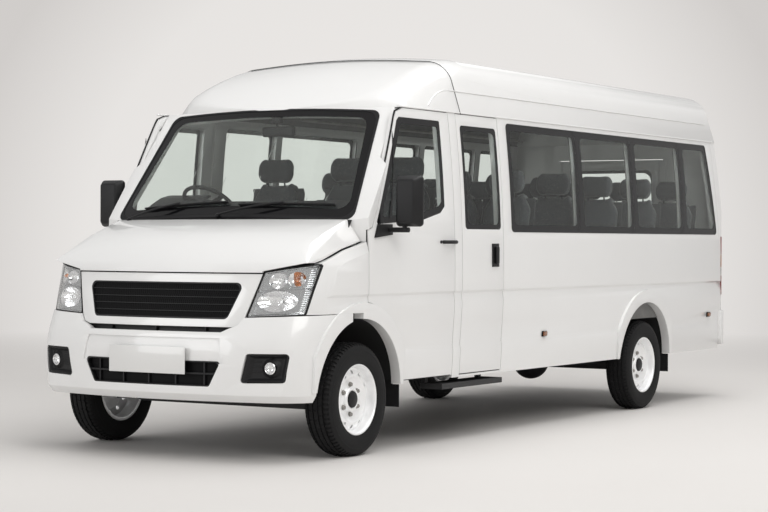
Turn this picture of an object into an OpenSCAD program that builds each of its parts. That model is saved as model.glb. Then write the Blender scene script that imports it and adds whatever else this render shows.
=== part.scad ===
// Long-wheelbase minibus with a high roof, built as separate body panels, doors, chassis and wheels.
// +X points forward, +Y to the vehicle's left, +Z up. The origin is on the ground at mid length.

/* [Overall] */
// Length from the rear bumper to the front bumper
overall_l = 6840; // [6400:20:7300]
// Widest width of the body, at the waist
body_w = 2070; // [1980:10:2160]
// Height of the roof's highest line above the ground
roof_h = 2620; // [2560:10:2800]
// Distance between the front and the rear axle
wheelbase = 4290; // [4100:10:4400]
// Distance from the front axle to the front bumper's face
front_overhang = 810; // [780:10:860]

/* [Body side] */
// Height of the sills' lower edge
sill_h = 420; // [400:5:440]
// Height of the widest line of the side
waist_h = 1100; // [1060:10:1140]
// Height where the sides meet the roof
drip_h = 2195; // [2170:5:2220]
// Radius of the side's barrel curve, seen from the front
side_curve_r = 8900; // [7500:100:14000]
// Thickness of the side walls and doors
wall_t = 50; // [35:1:60]
// Depth of the pressed creases along the side
crease_d = 9; // [4:1:14]
// Gap around every door and lid
shut_gap = 7; // [6:0.5:10]

/* [Windows] */
// Height of the side windows' lower edge
band_z0 = 1405; // [1360:5:1450]
// Height of the side windows' upper edge
band_z1 = 2150; // [2100:5:2160]
// Thickness of the side glass
glass_t = 6; // [4:0.5:8]
// Width of the ledge that each pane sits on
ledge_w = 16; // [10:1:24]
// Width of the pillars between the panes
pillar_w = 44; // [34:1:70]
// Length of the first pane behind the passenger door
first_pane_l = 1130; // [1000:10:1300]
// Number of panes in each side of the cabin
pane_n = 4; // [3:1:5]

/* [Doors] */
// Length of the front doors at the waist
front_door_l = 1080; // [1040:5:1100]
// Length of the passenger door
entry_l = 580; // [540:5:620]
// Width of the post between front and passenger door
post_w = 110; // [90:5:130]
// Width of the rear emergency door
rear_door_w = 1000; // [850:10:1100]
// Thickness of the rear door and rear wall
rear_t = 50; // [40:1:60]

/* [Wheels] */
// Outer diameter of the tyres
tyre_d = 700; // [680:2:710]
// Width of the tyres
tyre_w = 195; // [185:1:205]
// Outer diameter of the rims' flanges
rim_d = 441; // [420:1:450]
// Distance of the tyres' outer faces from the middle plane
track_half = 1022; // [1000:1:1026]
// Radius of the wheel arch openings
arch_r = 485; // [470:1:500]
// Width of the raised lip around each arch
flare_w = 100; // [70:1:110]
// How far the lip stands out from the side
flare_d = 18; // [8:1:24]
// Distance of the steering pivots from the middle plane
kingpin_y = 790; // [770:1:800]
// Radius of the steering pivots
kingpin_r = 15; // [12:0.5:18]
// Radius of the threaded tow eye bores in the chassis ends
tow_r = 12; // [10:0.5:14]

/* [Roof] */
// Thickness of the roof shell
roof_t = 40; // [30:1:50]
// Length of the domed cap over the cab
cap_l = 780; // [700:10:860]

/* [Inside] */
// Height of the cabin floor
floor_h = 700; // [680:5:730]
// Thickness of the cabin floor
floor_t = 40; // [30:1:50]
// Distance from one seat row to the next
row_pitch = 750; // [700:10:770]
// Number of seat rows behind the cab
row_n = 5; // [3:1:5]
// Width of one seat
seat_w = 430; // [400:5:450]
// Height of the seat cushions above the floor
seat_h = 400; // [370:5:430]
// Radius of the steering wheel's rim
steering_wheel_r = 195; // [180:1:205]

/* [Hidden] */
$fn = 64;
eps = 0.3;
x_nose = overall_l / 2;
x_tail = -overall_l / 2;
xf = x_nose - front_overhang;
xr = xf - wheelbase;
half_w = body_w / 2;
tyre_r = tyre_d / 2;
axle_z = tyre_r;
wheel_y = track_half - tyre_w / 2;
arch_z = axle_z + 15;
rail_y = 400;
rail_w = 70;
rail_z0 = floor_h - floor_t - 150;
rail_z1 = floor_h - floor_t;
inner_y = half_w - wall_t;
// Stations along the body
x_cowl = xf - 90;
x_door1 = x_cowl - front_door_l;
x_entry0 = x_door1 - post_w;
x_entry1 = x_entry0 - entry_l;
x_cap = xf - 560 - cap_l;
x_band0 = x_entry1 - 115;
x_back = x_tail + 150;
corner_l = 90;
band_end = x_tail + 250;
last_pane = 0.73;
tail_glass_lean = 11;
lean = 5;
rear_z0 = 760;
corner_r = 280;
nose_r = 3200;
ws_bottom_x = xf - 63;
ws_bottom_z = 1466;
ws_tilt = 36;
ws_bottom_y = 923;
ws_top_y = 813;
ws_l = 850;
ws_bow_r = 7200;
steer_lean = 38;
nose_lean = 12.6;
seam_z = 886;
bonnet_y = inner_y - shut_gap;
brow_x = xf - 508;
brow_l = 1100;
plate_hole = 260;
plate_z = 648;
x_row0 = x_entry1 - 480;
hub_bore = 30.05;
rim_in = 199;
bead_r = 205;
vent_n = 12;
steer_x = xf - 400;
steer_y = -420;
steer_z = 1570;

// ---- outlines -------------------------------------------------------------------------------

// Half width of the side at height z, d inside the outer skin
function side_y(z, d) = half_w - d - (z - waist_h) * (z - waist_h) / (2 * side_curve_r);

// Smooth side line from z0 to z1
function side_line(z0, z1, d, n = 14) = [for (i = [0 : n]) let (z = z0 + (z1 - z0) * i / n)
    [side_y(z, d), z]];

// Pressed side line: the sill stands out, a V groove runs under the waist
function pressed_line(z0, z1) = concat(
    [for (p = [[z0, 0], [605, 0], [640, crease_d], [780, crease_d / 2], [915, 0], [985, crease_d],
        [1000, 0]])
        [side_y(p[0], p[1]), p[0]]],
    side_line(1060, z1, 0, 12));

function reversed(p) = [for (i = [len(p) - 1 : -1 : 0]) p[i]];

// Plan points [x, y] and section points [y, z] taken to the other side, in reverse order
function mirrored(p) = [for (i = [len(p) - 1 : -1 : 0]) [p[i][0], -p[i][1]]];
function across(p) = [for (i = [len(p) - 1 : -1 : 0]) [-p[i][0], p[i][1]]];

// Arc of radius r about c from angle a0 to a1
function arc(c, r, a0, a1, n = 8) = [for (i = [0 : n]) let (a = a0 + (a1 - a0) * i / n)
    c + r * [cos(a), sin(a)]];

// Polygon with every corner rounded to radius r
function rounded(p, r, n = 5) = [
    for (i = [0 : len(p) - 1])
        let (c = p[i], a = p[(i + len(p) - 1) % len(p)] - c, b = p[(i + 1) % len(p)] - c,
             ua = a / norm(a), ub = b / norm(b), half = acos(ua * ub) / 2, k = r / tan(half),
             m = c + (ua + ub) / norm(ua + ub) * r / sin(half),
             s = atan2((c + ua * k - m)[1], (c + ua * k - m)[0]),
             e = atan2((c + ub * k - m)[1], (c + ub * k - m)[0]),
             turn = (e - s > 180) ? e - s - 360 : (e - s < -180) ? e - s + 360 : e - s)
        each [for (j = [0 : n]) m + r * [cos(s + turn * j / n), sin(s + turn * j / n)]]
];

// Plan outline of the nose: a shallow arc, two corner arcs and straight sides, d inside
function nose_plan(x0, w, d, x_end) =
    let (yc = w - corner_r, xc = x0 - nose_r + sqrt((nose_r - corner_r) * (nose_r - corner_r) - yc * yc),
         a = atan2(yc, xc - x0 + nose_r),
         side = concat(arc([x0 - nose_r, 0], nose_r - d, 0, a, 5), arc([xc, yc], corner_r - d, a, 90, 9),
                       [[x_end, w - d]]))
    concat(side, mirrored(side));

// ---- helpers --------------------------------------------------------------------------------

// Extrude a [y, z] outline from x0 to x1
module along_x(x0, x1, p) translate([x0, 0, 0]) rotate([90, 0, 90]) linear_extrude(x1 - x0) polygon(p);

// Extrude an [x, z] outline from y0 to y1
module along_y(y0, y1, p) translate([0, y1, 0]) rotate([90, 0, 0]) linear_extrude(y1 - y0) polygon(p);

// Extrude an [x, y] outline from z0 to z1
module along_z(z0, z1, p) translate([0, 0, z0]) linear_extrude(z1 - z0) polygon(p);

module block(a, b) translate(a) cube(b - a);

// Straight round bar along Y
module rod_y(x, z, r, y0, y1) translate([x, y0, z]) rotate([-90, 0, 0]) cylinder(r = r, h = y1 - y0);

module both_sides() {
    children();
    mirror([0, 1, 0]) children();
}

// Left side wall between z0 and z1, with the pressed outer skin
module side_wall(x0, x1, z1 = drip_h) along_x(x0, x1,
    concat(pressed_line(sill_h, z1), reversed(side_line(sill_h, z1, wall_t))));

// Smooth layer of the left side between depths d0 and d1
module side_layer(x0, x1, d0, d1, z0 = sill_h - 20, z1 = drip_h) along_x(x0, x1,
    concat(side_line(z0, z1, d0), reversed(side_line(z0, z1, d1))));

// Opening through the left side with a shallow ledge outside that a pane sits on
module window_cut(p, q) {
    along_y(inner_y - 120, half_w + 50, q);
    intersection() {
        along_y(inner_y - 120, half_w + 50, p);
        side_layer(x_tail, x_nose, -60, glass_t + 2 * eps + 1);
    }
}

// Pane that sits in the ledge of window_cut
module pane(p) intersection() {
    along_y(inner_y - 120, half_w + 50, p);
    side_layer(x_tail, x_nose, 1, glass_t + 1 + eps);
}

// Raised lip around a left arch at x
module flare(x) intersection() {
    difference() {
        rod_y(x, arch_z, arch_r + flare_w, 600, half_w + 60);
        rod_y(x, arch_z, arch_r, 500, half_w + 90);
    }
    side_layer(x - 520, x + 520, -flare_d, wall_t, sill_h, drip_h);
}

module arch_cut(x, grow = 0) {
    rod_y(x, arch_z, arch_r + grow, 500, half_w + 90);
    block([x - arch_r - grow, 500, 0], [x + arch_r + grow, half_w + 90, arch_z]);
}

// ---- underbody ------------------------------------------------------------------------------

module chassis_frame() color("dimgray") {
    both_sides() block([x_tail + 190, rail_y, rail_z0], [xf + 560, rail_y + rail_w, rail_z1]);
    for (x = [x_tail + 200, x_tail + 760, xr + 620, xr + 1500, xr + 2300, xf - 1150, xf + 500])
        block([x, -rail_y, rail_z0 + 20], [x + 60, rail_y, rail_z1 - 20]);
    for (x = [x_tail + 200, xr + 640, xr + 1500, xr + 2300, xf - 1150])
        both_sides() block([x, rail_y + rail_w, rail_z1 - 60], [x + 60, inner_y - 25, rail_z1]);
    both_sides() block([xf + 500, rail_y + rail_w, rail_z0 + 40], [xf + 560, 640, rail_z0 + 110]);
    both_sides() difference() {
        block([xf + 559, rail_y, rail_z0 + 30], [x_nose - 98, rail_y + rail_w, rail_z1 - 30]);
        rod_x(xf + 600, xf + 900, rail_y + rail_w / 2, rail_z0 + 75, tow_r);
    }
}

// Carrier behind the nose that holds the lamps, the nose panel and the radiator
module front_carrier() color("black") {
    intersection() {
        nose_body(40 + eps);
        block([xf + 490, -688, 1094], [xf + 900, 688, 1124]);
    }
    both_sides() intersection() {
        nose_body(70 + eps);
        block([xf + 490, 640, 880], [xf + 900, 760, 1095]);
    }
    block([xf + 490, -700, 870], [xf + 520, 700, 900]);
    both_sides() {
        block([xf + 490, rail_y, rail_z1 + eps], [xf + 520, rail_y + rail_w, 871]);
        translate([xf + 540, 300, 1120]) cylinder(r = 10, h = 79.5);
    }
}

module radiator() color("black") {
    block([xf + 521, -385, 700], [xf + 551, 385, 1085]);
    both_sides() block([xf + 520 + eps, 380, 690], [xf + 560, 440, 1090]);
}

module floor() color("gray") {
    difference() {
        intersection() {
            along_x(x_tail, xf - 100, let (p = side_line(floor_h - floor_t, floor_h, wall_t + eps, 1))
                concat(p, across(p)));
            rear_trim(rear_t + eps);
            tail_plan(rear_t + eps);
        }
        both_sides() rod_y(xf, arch_z, arch_r + 22 + eps, 590 - eps, half_w);
        both_sides() rod_y(xr, arch_z, arch_r + 22 + eps, 720 - eps, half_w);
        both_sides() block([x_entry1 - 10, side_y(floor_h - floor_t, wall_t) - 6, floor_h - floor_t - 10],
            [xf, half_w, floor_h + 10]);
    }
    block([xf - 140, -560, floor_h - eps], [xf - 100, 560, 1300]);
    both_sides() block([xf - 140, 560 - eps, arch_z + 540], [xf - 100, inner_y - 10, 1300]);
}

// Half-round tubs over the four wheels
module housing(x, y0) {
    difference() {
        intersection() {
            rod_y(x, arch_z, arch_r + 22, y0, half_w);
            side_layer(x - 600, x + 600, wall_t + eps, 600);
        }
        rod_y(x, arch_z, arch_r + 4, y0 + 14, half_w);
        block([x - 700, y0 - 10, -200], [x + 700, half_w, sill_h + 20]);
    }
}

module wheel_housings() color("black") both_sides() {
    housing(xf, 590);
    housing(xr, 720);
}

module front_axle() color("dimgray") {
    difference() {
        union() {
            along_x(xf - 35, xf + 35, [[-640, axle_z - 75], [640, axle_z - 75], [kingpin_y, axle_z - 40],
                [kingpin_y, axle_z + 40], [640, axle_z - 5], [-640, axle_z - 5], [-kingpin_y, axle_z + 40],
                [-kingpin_y, axle_z - 40]]);
            both_sides() translate([xf, kingpin_y, axle_z - 45]) cylinder(r = kingpin_r + 20, h = 90);
        }
        both_sides() translate([xf, kingpin_y, 0]) cylinder(r = kingpin_r + 0.05, h = 2 * axle_z);
    }
}

module rear_axle() color("dimgray") {
    rod_y(xr, axle_z, 48, -wheel_y + 60, wheel_y - 60);
    translate([xr, 0, axle_z]) sphere(r = 150);
    translate([xr, 0, axle_z]) rotate([0, 90, 0]) cylinder(r = 55, h = 300);
    translate([xr + 299, 0, axle_z]) rotate([0, 88, 0]) cylinder(r = 38, h = wheelbase - 1150);
    both_sides() rod_y(xr, axle_z, hub_bore - 0.05, wheel_y - 61, wheel_y + 30);
}

// One pack of leaves: a shallow arc whose eyes hang under the rail
module spring(x, l, bottom_z) {
    end_z = rail_z0 - 70;
    sag = end_z - bottom_z;
    r = (l * l / 4 + sag * sag) / (2 * sag);
    a = asin(l / 2 / r);
    c = [x, bottom_z + r];
    along_y(rail_y + 5, rail_y + 65,
        concat(arc(c, r, 270 - a, 270 + a, 16), arc(c, r - 36, 270 + a, 270 - a, 16)));
    for (s = [-1, 1]) {
        rod_y(x + s * l / 2, end_z + 10, 26, rail_y + 5, rail_y + 65);
        block([x + s * l / 2 - 20, rail_y + 10, end_z + 10], [x + s * l / 2 + 20, rail_y + 60, rail_z0]);
    }
}

module leaf_springs() color("dimgray") both_sides() {
    spring(xf, 1000, axle_z - 5);
    spring(xr, 1200, axle_z + 48);
}

module engine() color("gray") {
    block([xf - 95, -270, rail_z0 - 60], [xf + 480, 270, 1060]);
    block([xf - 850, -150, rail_z0 - 110], [xf - 90, 150, rail_z1 - 25]);
    both_sides() block([xf + 150, 260, rail_z0 + 40], [xf + 230, rail_y, rail_z0 + 90]);
}

// Straight round bar along X
module rod_x(x0, x1, y, z, r) translate([min(x0, x1), y, z]) rotate([0, 90, 0])
    cylinder(r = r, h = abs(x1 - x0));

module exhaust() color("silver") {
    y = 260;
    z = rail_z0 - 68;
    rod_x(xf - 600, x_tail + 70, y, z, 28);
    rod_x(xr + 2000, xr + 1350, y, z, 80);
    for (x = [xr + 1500, xr + 620, x_tail + 760])
        block([x + 10, y - 8, z], [x + 50, y + 8, rail_z0 + 20]);
}

module fuel_tank() color("black") {
    y = rail_y + rail_w + 12;
    z = rail_z0 - 110;
    mirror([0, 1, 0]) {
        along_x(xr + 1100, xr + 1950, [[y + 30, z], [830, z], [860, z + 30], [860, rail_z1 - 60 - eps],
            [y, rail_z1 - 60 - eps], [y, z + 30]]);
        for (x = [xr + 1200, xr + 1750])
            block([x, rail_y + rail_w, rail_z0 + 30], [x + 50, y + 1, rail_z0 + 80]);
    }
}

module step_board() color("dimgray") {
    block([x_entry1 - 10, 850, 350], [x_entry0 + 250, half_w - 15, 386]);
    for (x = [x_entry1 + 40, x_entry0 + 195]) block([x, 850, 380], [x + 40, 880, rail_z1 - eps]);
}

module mud_flaps() color("black") both_sides() for (x = [xf, xr])
    along_x(x - arch_r - 19, x - arch_r - 13, [[780, 270], [1005, 270], [1005, sill_h - 5],
        [inner_y - 29, sill_h - 5],
        [inner_y - 29, sill_h + 20 - eps], [780, sill_h + 20 - eps]]);

// ---- body -----------------------------------------------------------------------------------

// Rear shape of the body seen from the side: it leans forward towards the roof
module rear_trim(d) along_y(-2 * half_w, 2 * half_w, [
    [x_tail + 60 + d, sill_h - 50], [x_nose, sill_h - 50], [x_nose, roof_h + 50],
    [x_tail + 60 + d + (roof_h + 50 - rear_z0) * tan(lean), roof_h + 50], [x_tail + 60 + d, rear_z0]]);

// Plan of the body with rounded rear corners
module tail_plan(d) along_z(sill_h - 50, roof_h + 50, let (r = 130, x = x_tail + 60,
    p = concat([[x_nose, -half_w + d]], arc([x + r, -half_w + r], r - d, 270, 180, 6),
               arc([x + r, half_w - r], r - d, 180, 90, 6), [[x_nose, half_w - d]])) p);

// Panes of the cabin: a long first one, equal ones, and a short last one that leans with the tail
function pane_x(i) = i == 0 ? x_band0 : i == pane_n ? band_end
    : x_band0 - first_pane_l - (i - 1) * (x_band0 - band_end - first_pane_l) / (pane_n - 2 + last_pane);
function pane_outline(i, g) = let (a = pane_x(i) - pillar_w / 2 - g, b = pane_x(i + 1) + pillar_w / 2 + g,
    top = b + (i == pane_n - 1 ? (band_z1 - band_z0) * tan(tail_glass_lean) : 0))
    rounded([[a, band_z0 + g], [a, band_z1 - g], [top, band_z1 - g], [b, band_z0 + g]], 30);

// The right side has one more pane where the left side has its passenger door
function extra_outline(g) = let (a = x_door1 - post_w - g, b = pane_x(0) + pillar_w / 2 + g)
    rounded([[a, band_z0 + g], [a, band_z1 - g], [b, band_z1 - g], [b, band_z0 + g]], 30);

module side_windows() for (i = [0 : pane_n - 1]) window_cut(pane_outline(i, 0), pane_outline(i, ledge_w));

module side_main(x0) {
    difference() {
        union() {
            intersection() {
                side_wall(x_tail, x0);
                rear_trim(corner_l);
            }
            intersection() {
                flare(xr);
                block([xr - 600, 0, 0], [xr + 600, 2 * half_w, drip_h]);
            }
        }
        arch_cut(xr);
        side_windows();
        bumper_zone();
    }
}

// Flange of a door post that the doors close against, from x0 to x1, rooted in the post from r0 to r1
module post_flange(x0, x1, r0, r1) {
    side_layer(r0, r1, wall_t - 10, wall_t + 12, 770, 2150);
    side_layer(x0, x1, wall_t + eps, wall_t + 12, 770, 2150);
}

module body_side_left() color("white") {
    difference() {
        side_main(x_door1 - shut_gap);
        along_y(500, 1500, entry_outline(shut_gap));
    }
    post_flange(x_entry0 - 25, x_door1 + 25, x_entry0 + shut_gap + 2, x_door1 - shut_gap - 2);
    post_flange(x_entry1 - 40, x_entry1 + 20, x_entry1 - 42, x_entry1 - shut_gap - 2);
}

module body_side_right() color("white") mirror([0, 1, 0]) {
    difference() {
        side_main(x_door1 - shut_gap);
        window_cut(extra_outline(0), extra_outline(ledge_w));
    }
    post_flange(x_door1 - 60, x_door1 + 25, x_door1 - 62, x_door1 - shut_gap - 2);
}

module side_glass() color("darkslategray") {
    both_sides() for (i = [0 : pane_n - 1]) pane(pane_outline(i, eps));
    mirror([0, 1, 0]) pane(extra_outline(eps));
}

// Roof cross-section: a leaning side, a round shoulder and a crowned top, d inside
function roof_half(d) = let (cr = 6900, c = [700, roof_h - 250], r = 215 - d,
        foot = [side_y(drip_h, d) + 10, drip_h - 12],
        a = atan2(foot[1] - c[1], foot[0] - c[0]) + acos(r / norm(foot - c)))
    concat([foot], arc(c, r, a, 85, 8),
           [for (i = [1 : 5]) let (y = 700 * (5 - i) / 5) [y, roof_h - d - y * y / (2 * cr)]]);

// Rise of the brow over the cab, from 0 at the windscreen to 1 where the roof is level
function brow_rise(x) = let (s = (brow_x - x) / brow_l) s > 1 ? 1 : 1 - pow(1 - s, 1.8);
function brow_width(x) = 1 - exp((x - brow_x) / 80);

// Thin slice of the roof at x
module roof_slice(x, d) {
    p = [for (q = roof_half(d)) [q[0] * brow_width(x), drip_h + (q[1] - drip_h) * brow_rise(x)]];
    along_x(x - 0.5, x + 0.5, concat(p, across([for (q = p) if (q[0] > 0) q])));
}

module roof_front(x0, x1, d, n) hull() for (i = [0 : n]) roof_slice(x0 + (x1 - x0) * pow(i / n, 1.7), d);

module roof_shell(x1, d) along_x(x_tail, x1, let (p = roof_half(d))
    concat(p, across([for (q = p) if (q[0] > 0) q])));

module roof() color("white") difference() {
    intersection() {
        union() {
            roof_shell(brow_x - brow_l, 0);
            roof_front(brow_x - brow_l - 1, x_cap, 0, 5);
        }
        rear_trim(0);
        tail_plan(0);
        block([x_tail, -half_w, drip_h + eps], [x_cap - eps, half_w, roof_h + 1]);
    }
    intersection() {
        translate([0, 0, -1]) union() {
            roof_shell(brow_x - brow_l, roof_t);
            roof_front(brow_x - brow_l - 1, x_cap + 40, roof_t, 5);
        }
        rear_trim(rear_t);
        tail_plan(rear_t);
    }
}

module roof_cap() color("white") difference() {
    intersection() {
        roof_front(brow_x - 6, x_cap, 0, 9);
        block([x_cap, -half_w, drip_h + eps], [xf, half_w, roof_h + 1]);
    }
    difference() {
        translate([0, 0, -1]) roof_front(brow_x - 6 - roof_t, x_cap - 5, roof_t, 9);
        // closed underside over the header of the windscreen
        block([brow_x - 150, -half_w, drip_h - 30], [xf, half_w, drip_h + 18]);
    }
}

// Frame of the windscreen: z runs up the slope of the glass and x points out of it
module on_screen() translate([ws_bottom_x, 0, ws_bottom_z]) rotate([0, -ws_tilt, 0]) children();

// Bowed layer in the windscreen's frame, between depths d0 and d1
module screen_layer(d0, d1, z0, z1, y1 = 1100) {
    cx = -sqrt(ws_bow_r * ws_bow_r - ws_bottom_y * ws_bottom_y);
    a = asin(y1 / ws_bow_r);
    along_z(z0, z1, concat(arc([cx, 0], ws_bow_r - d0, -a, a, 16), arc([cx, 0], ws_bow_r - d1, a, -a, 16)));
}

function screen_outline(g) = rounded([[ws_bottom_y - g, g], [ws_top_y - g, ws_l - g],
    [g - ws_top_y, ws_l - g], [g - ws_bottom_y, g]], 60);

// Solid up to the rear edge of the bonnet, g short of it
module behind_bonnet(g) translate([xf + 58 - g - 3900, 0, 0]) cylinder(r = 3900, h = 3000, $fn = 720);

// Foot of a windscreen pillar, between the bonnet and the front door
module pillar_foot() intersection() {
    hull() {
        x = x_cowl + shut_gap;
        along_x(x, x + 1, [[900, 1326], [1016, 1326], [1027, 1475], [900, 1475]]);
        along_x(x + 64, x + 65, [[900, 1326], [986, 1326], [944, 1462], [900, 1475]]);
    }
    on_screen() screen_layer(0, 300, -200, 60);
    behind_bonnet(shut_gap);
}

module windscreen_frame() color("white") {
    difference() {
        intersection() {
            on_screen() screen_layer(0, 62, -70, 1000);
            along_x(xf - 900, xf + 100, let (p = side_line(1300, drip_h, 0)) concat(p, across(p)));
            block([xf - 900, -half_w, 1345], [xf + 100, half_w, drip_h - eps]);
        }
        both_sides() block([x_cowl + shut_gap, 900, 1300], [xf + 200, half_w + 50, 1475]);
        difference() {
            block([xf - 100, -half_w, 1300], [xf + 200, half_w, 1475]);
            behind_bonnet(shut_gap);
        }
        on_screen() along_x(-200, 200, screen_outline(ledge_w));
        on_screen() intersection() {
            along_x(-glass_t - 2, 200, screen_outline(0));
            screen_layer(-50, glass_t + 1, -20, ws_l + 20);
        }
        both_sides() intersection() {
            along_y(500, half_w + 20, front_door_outline(shut_gap));
            side_layer(xf - 1000, xf + 100, -20, wall_t + shut_gap, 1200, drip_h + 50);
        }
    }
    both_sides() pillar_foot();
    along_y(-905, 905, [[xf - 140, 1300 + eps], [xf - 60, 1300 + eps], [xf - 50, 1398], [xf - 66, 1445],
        [xf - 140, 1425]]);
}

module windscreen() color("darkslategray") on_screen() intersection() {
    along_x(-200, 200, screen_outline(eps));
    screen_layer(0.5, glass_t + 0.5, -20, ws_l + 20);
}

// ---- nose -----------------------------------------------------------------------------------

// Body of the nose at lamp height, leaning back, d inside the skin
module nose_body(d) intersection() {
    translate([xf + 741, 0, 800]) rotate([0, -nose_lean, 0]) translate([-xf - 741, 0, -200])
        along_z(-400, 1100, nose_plan(xf + 741, half_w, d, xf - 900));
    along_x(xf - 1000, xf + 1200, let (p = [for (q = pressed_line(sill_h, 1500)) [q[0] - d, q[1]]])
        concat(p, across(p)));
}

module nose_shell(d0, d1) difference() {
    nose_body(d0);
    nose_body(d1);
}

lamp_inner = [[632, 868], [712, 1140]];

// Outline of a front door, g larger all round
function front_door_outline(g) = [[x_cowl + g, sill_h + 22 - g], [x_cowl + g, 1395 + g / 2],
    [x_cowl - 50 + g, 1412 + g],
    [xf - 495 + g, 2125 + g / 2], [xf - 520 + g / 2, 2160 + g], [xf - 590, drip_h - 9 + g],
    [x_door1 - g, drip_h - 9 + g], [x_door1 - g, sill_h + 22 - g]];

// Zone around the front arch that the door keeps clear of
module arch_zone(g) intersection() {
    union() {
        rod_y(xf, arch_z, arch_r + flare_w + g, 400, 1300);
        block([xf - arch_r - flare_w - g, 400, 0], [xf + 600, 1300, arch_z]);
    }
    block([xf - 520 - g, 400, 0], [xf + 700, 1300, 1500]);
}

// Top edge of a front wing: [x, z, how far its shoulder leans in]
wing_top = [[x_cowl + shut_gap, 1324, 16], [xf - 24, 1307, 22], [xf + 147, 1270, 30], [xf + 359, 1204, 30],
    [xf + 393, 1194, 30]];

// Shoulder cut along the top of a wing
module wing_shoulder() for (i = [0 : len(wing_top) - 2]) hull() for (k = [0, 1]) {
    p = wing_top[i + k];
    y = side_y(p[1], 0);
    along_x(p[0] - 0.01, p[0] + 0.01, [[y - p[2], p[1] + 1], [y - p[2], p[1] + 30], [y + 60, p[1] + 30],
        [y + 60, p[1] - 62], [y, p[1] - 62]]);
}

module front_wing_left() difference() {
    union() {
        difference() {
            intersection() {
                nose_shell(0, wall_t);
                along_y(inner_y - 300, half_w + 20, concat([[x_cowl + shut_gap, seam_z + eps]],
                    [for (p = wing_top) [p[0], p[1]]], [[xf + 521, seam_z + eps]]));
            }
            wing_shoulder();
        }
        intersection() {
            flare(xf);
            arch_zone(0);
            union() {
                block([xf - 600, 400, 0], [xf, 1300, 1500]);
                block([xf - 1, 400, seam_z + eps], [xf + 700, 1300, 1500]);
            }
        }
    }
    arch_cut(xf);
}

module front_wings() color("white") both_sides() front_wing_left();

module nose_panel() color("white") difference() {
    intersection() {
        nose_shell(0, 40);
        along_x(xf, xf + 900, let (p = [[lamp_inner[1][0] - 8, 1128], [lamp_inner[0][0] - 8, 868],
            [594, 822],
            [545, 808]]) concat(p, across(p)));
    }
    along_x(xf, xf + 900, grille_outline(0));
}

function grille_outline(g) = rounded([[594 + g, 1075 + g], [508 + g, 855 - g], [-508 - g, 855 - g],
    [-594 - g, 1075 + g]], 34);

// Upright layer just inside the bumper's face, between depths d0 and d1
module bumper_layer(d0, d1) along_z(420, 676, let (p = nose_plan(x_nose - 5, half_w - 8, d0, xf + 400),
    q = nose_plan(x_nose - 5, half_w - 8, d1, xf + 400)) concat(p, reversed(q)));

module grille() color("black") {
    difference() {
        intersection() {
            nose_shell(40 + eps, 62);
            along_x(xf, xf + 900, grille_outline(16));
        }
        for (i = [0 : 4]) along_x(xf, xf + 900, let (z = 875 + i * 40)
            [[460, z], [470, z + 22], [-470, z + 22], [-460, z]]);
    }
    // backs of the lower grille and of the fog lamp pockets
    difference() {
        intersection() {
            bumper_layer(45 + eps, 57);
            union() {
                along_x(xf + 500, xf + 900, lower_grille(-18));
                both_sides() along_x(xf + 500, xf + 900, fog_pocket(-14));
            }
        }
        // open strips in front of the towing eyes
        both_sides() block([xf + 500, rail_y + rail_w / 2 - 32, 300],
            [xf + 900, rail_y + rail_w / 2 + 32, 800]);
    }
}

module headlamp_left() intersection() {
    nose_shell(1, 70);
    along_x(xf, xf + 900, [[lamp_inner[0][0] + 4, lamp_inner[0][1]], [1100, 887], [1100, 1188], [965, 1186],
        [lamp_inner[1][0], lamp_inner[1][1] - 2]]);
    along_y(500, 1200, [[xf + 900, 700], [xf + 529, seam_z], [xf + 404, 1182], [xf + 394, 1220],
        [xf + 900, 1220]]);
}

module headlamps() color("silver") both_sides() {
    headlamp_left();
    intersection() {
        bumper_layer(12, 45);
        rod_x(xf + 500, xf + 900, 820, 570, 52);
    }
}

// Bumper slices: height, x of the front and narrowing of the sides
bumper_slices = [[362, front_overhang - 42, 22], [405, front_overhang - 8, 6], [560, front_overhang, 0],
    [690, front_overhang - 4, 0], [760, front_overhang - 24, 0], [seam_z, front_overhang - 75, 0]];

// Hollow bodies run 60 mm past both ends
module bumper_body(d) hull() for (s = bumper_slices) {
    past = d > 0 ? 60 : 0;
    z = s[0] + (s[0] == seam_z ? past : s[0] == bumper_slices[0][0] ? -past : 0);
    along_z(z - 0.5, z + 0.5, nose_plan(xf + s[1], half_w - s[2] - 2, d, xf - 100));
}

module front_bumper() color("white") difference() {
    union() {
        difference() {
            intersection() {
                bumper_body(0);
                block([xf + 200, -half_w, 300], [xf + 900, half_w, seam_z]);
            }
            bumper_body(45);
            block([xf - 100, -660, 700], [xf + 640, 660, 1000]);
            // shoulder is cut away under the nose panel
            along_x(xf, xf + 900, let (p = [[1100, 1000], [1100, 885], [630, 866], [600, 822], [545, 800],
                [500, 778]]) concat(p, across(p)));
            // shallow recess behind the number plate
            difference() {
                along_x(xf + 500, xf + 900, [[535, 590], [503, 742], [-503, 742], [-535, 590]]);
                bumper_body(10);
            }
        }
        both_sides() intersection() {
            flare(xf);
            arch_zone(0);
            block([xf + 120, 400, 0], [xf + 700, 1300, seam_z]);
        }
    }
    both_sides() arch_cut(xf);
    along_x(xf + 500, xf + 900, lower_grille(0));
    both_sides() along_x(xf + 500, xf + 900, fog_pocket(0));
    both_sides() rod_x(xf + 700, xf + 900, plate_hole / 2, plate_z, 4);
}

function fog_pocket(g) = rounded([[640 + g, 478 + g], [682 + g, 655 - g], [938 - g, 658 - g],
    [914 - g, 484 + g]], 22);

function lower_grille(g) = rounded([[522 + g, 604 + g], [440 + g, 452 - g], [-440 - g, 452 - g],
    [-522 - g, 604 + g]], 20);

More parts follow.
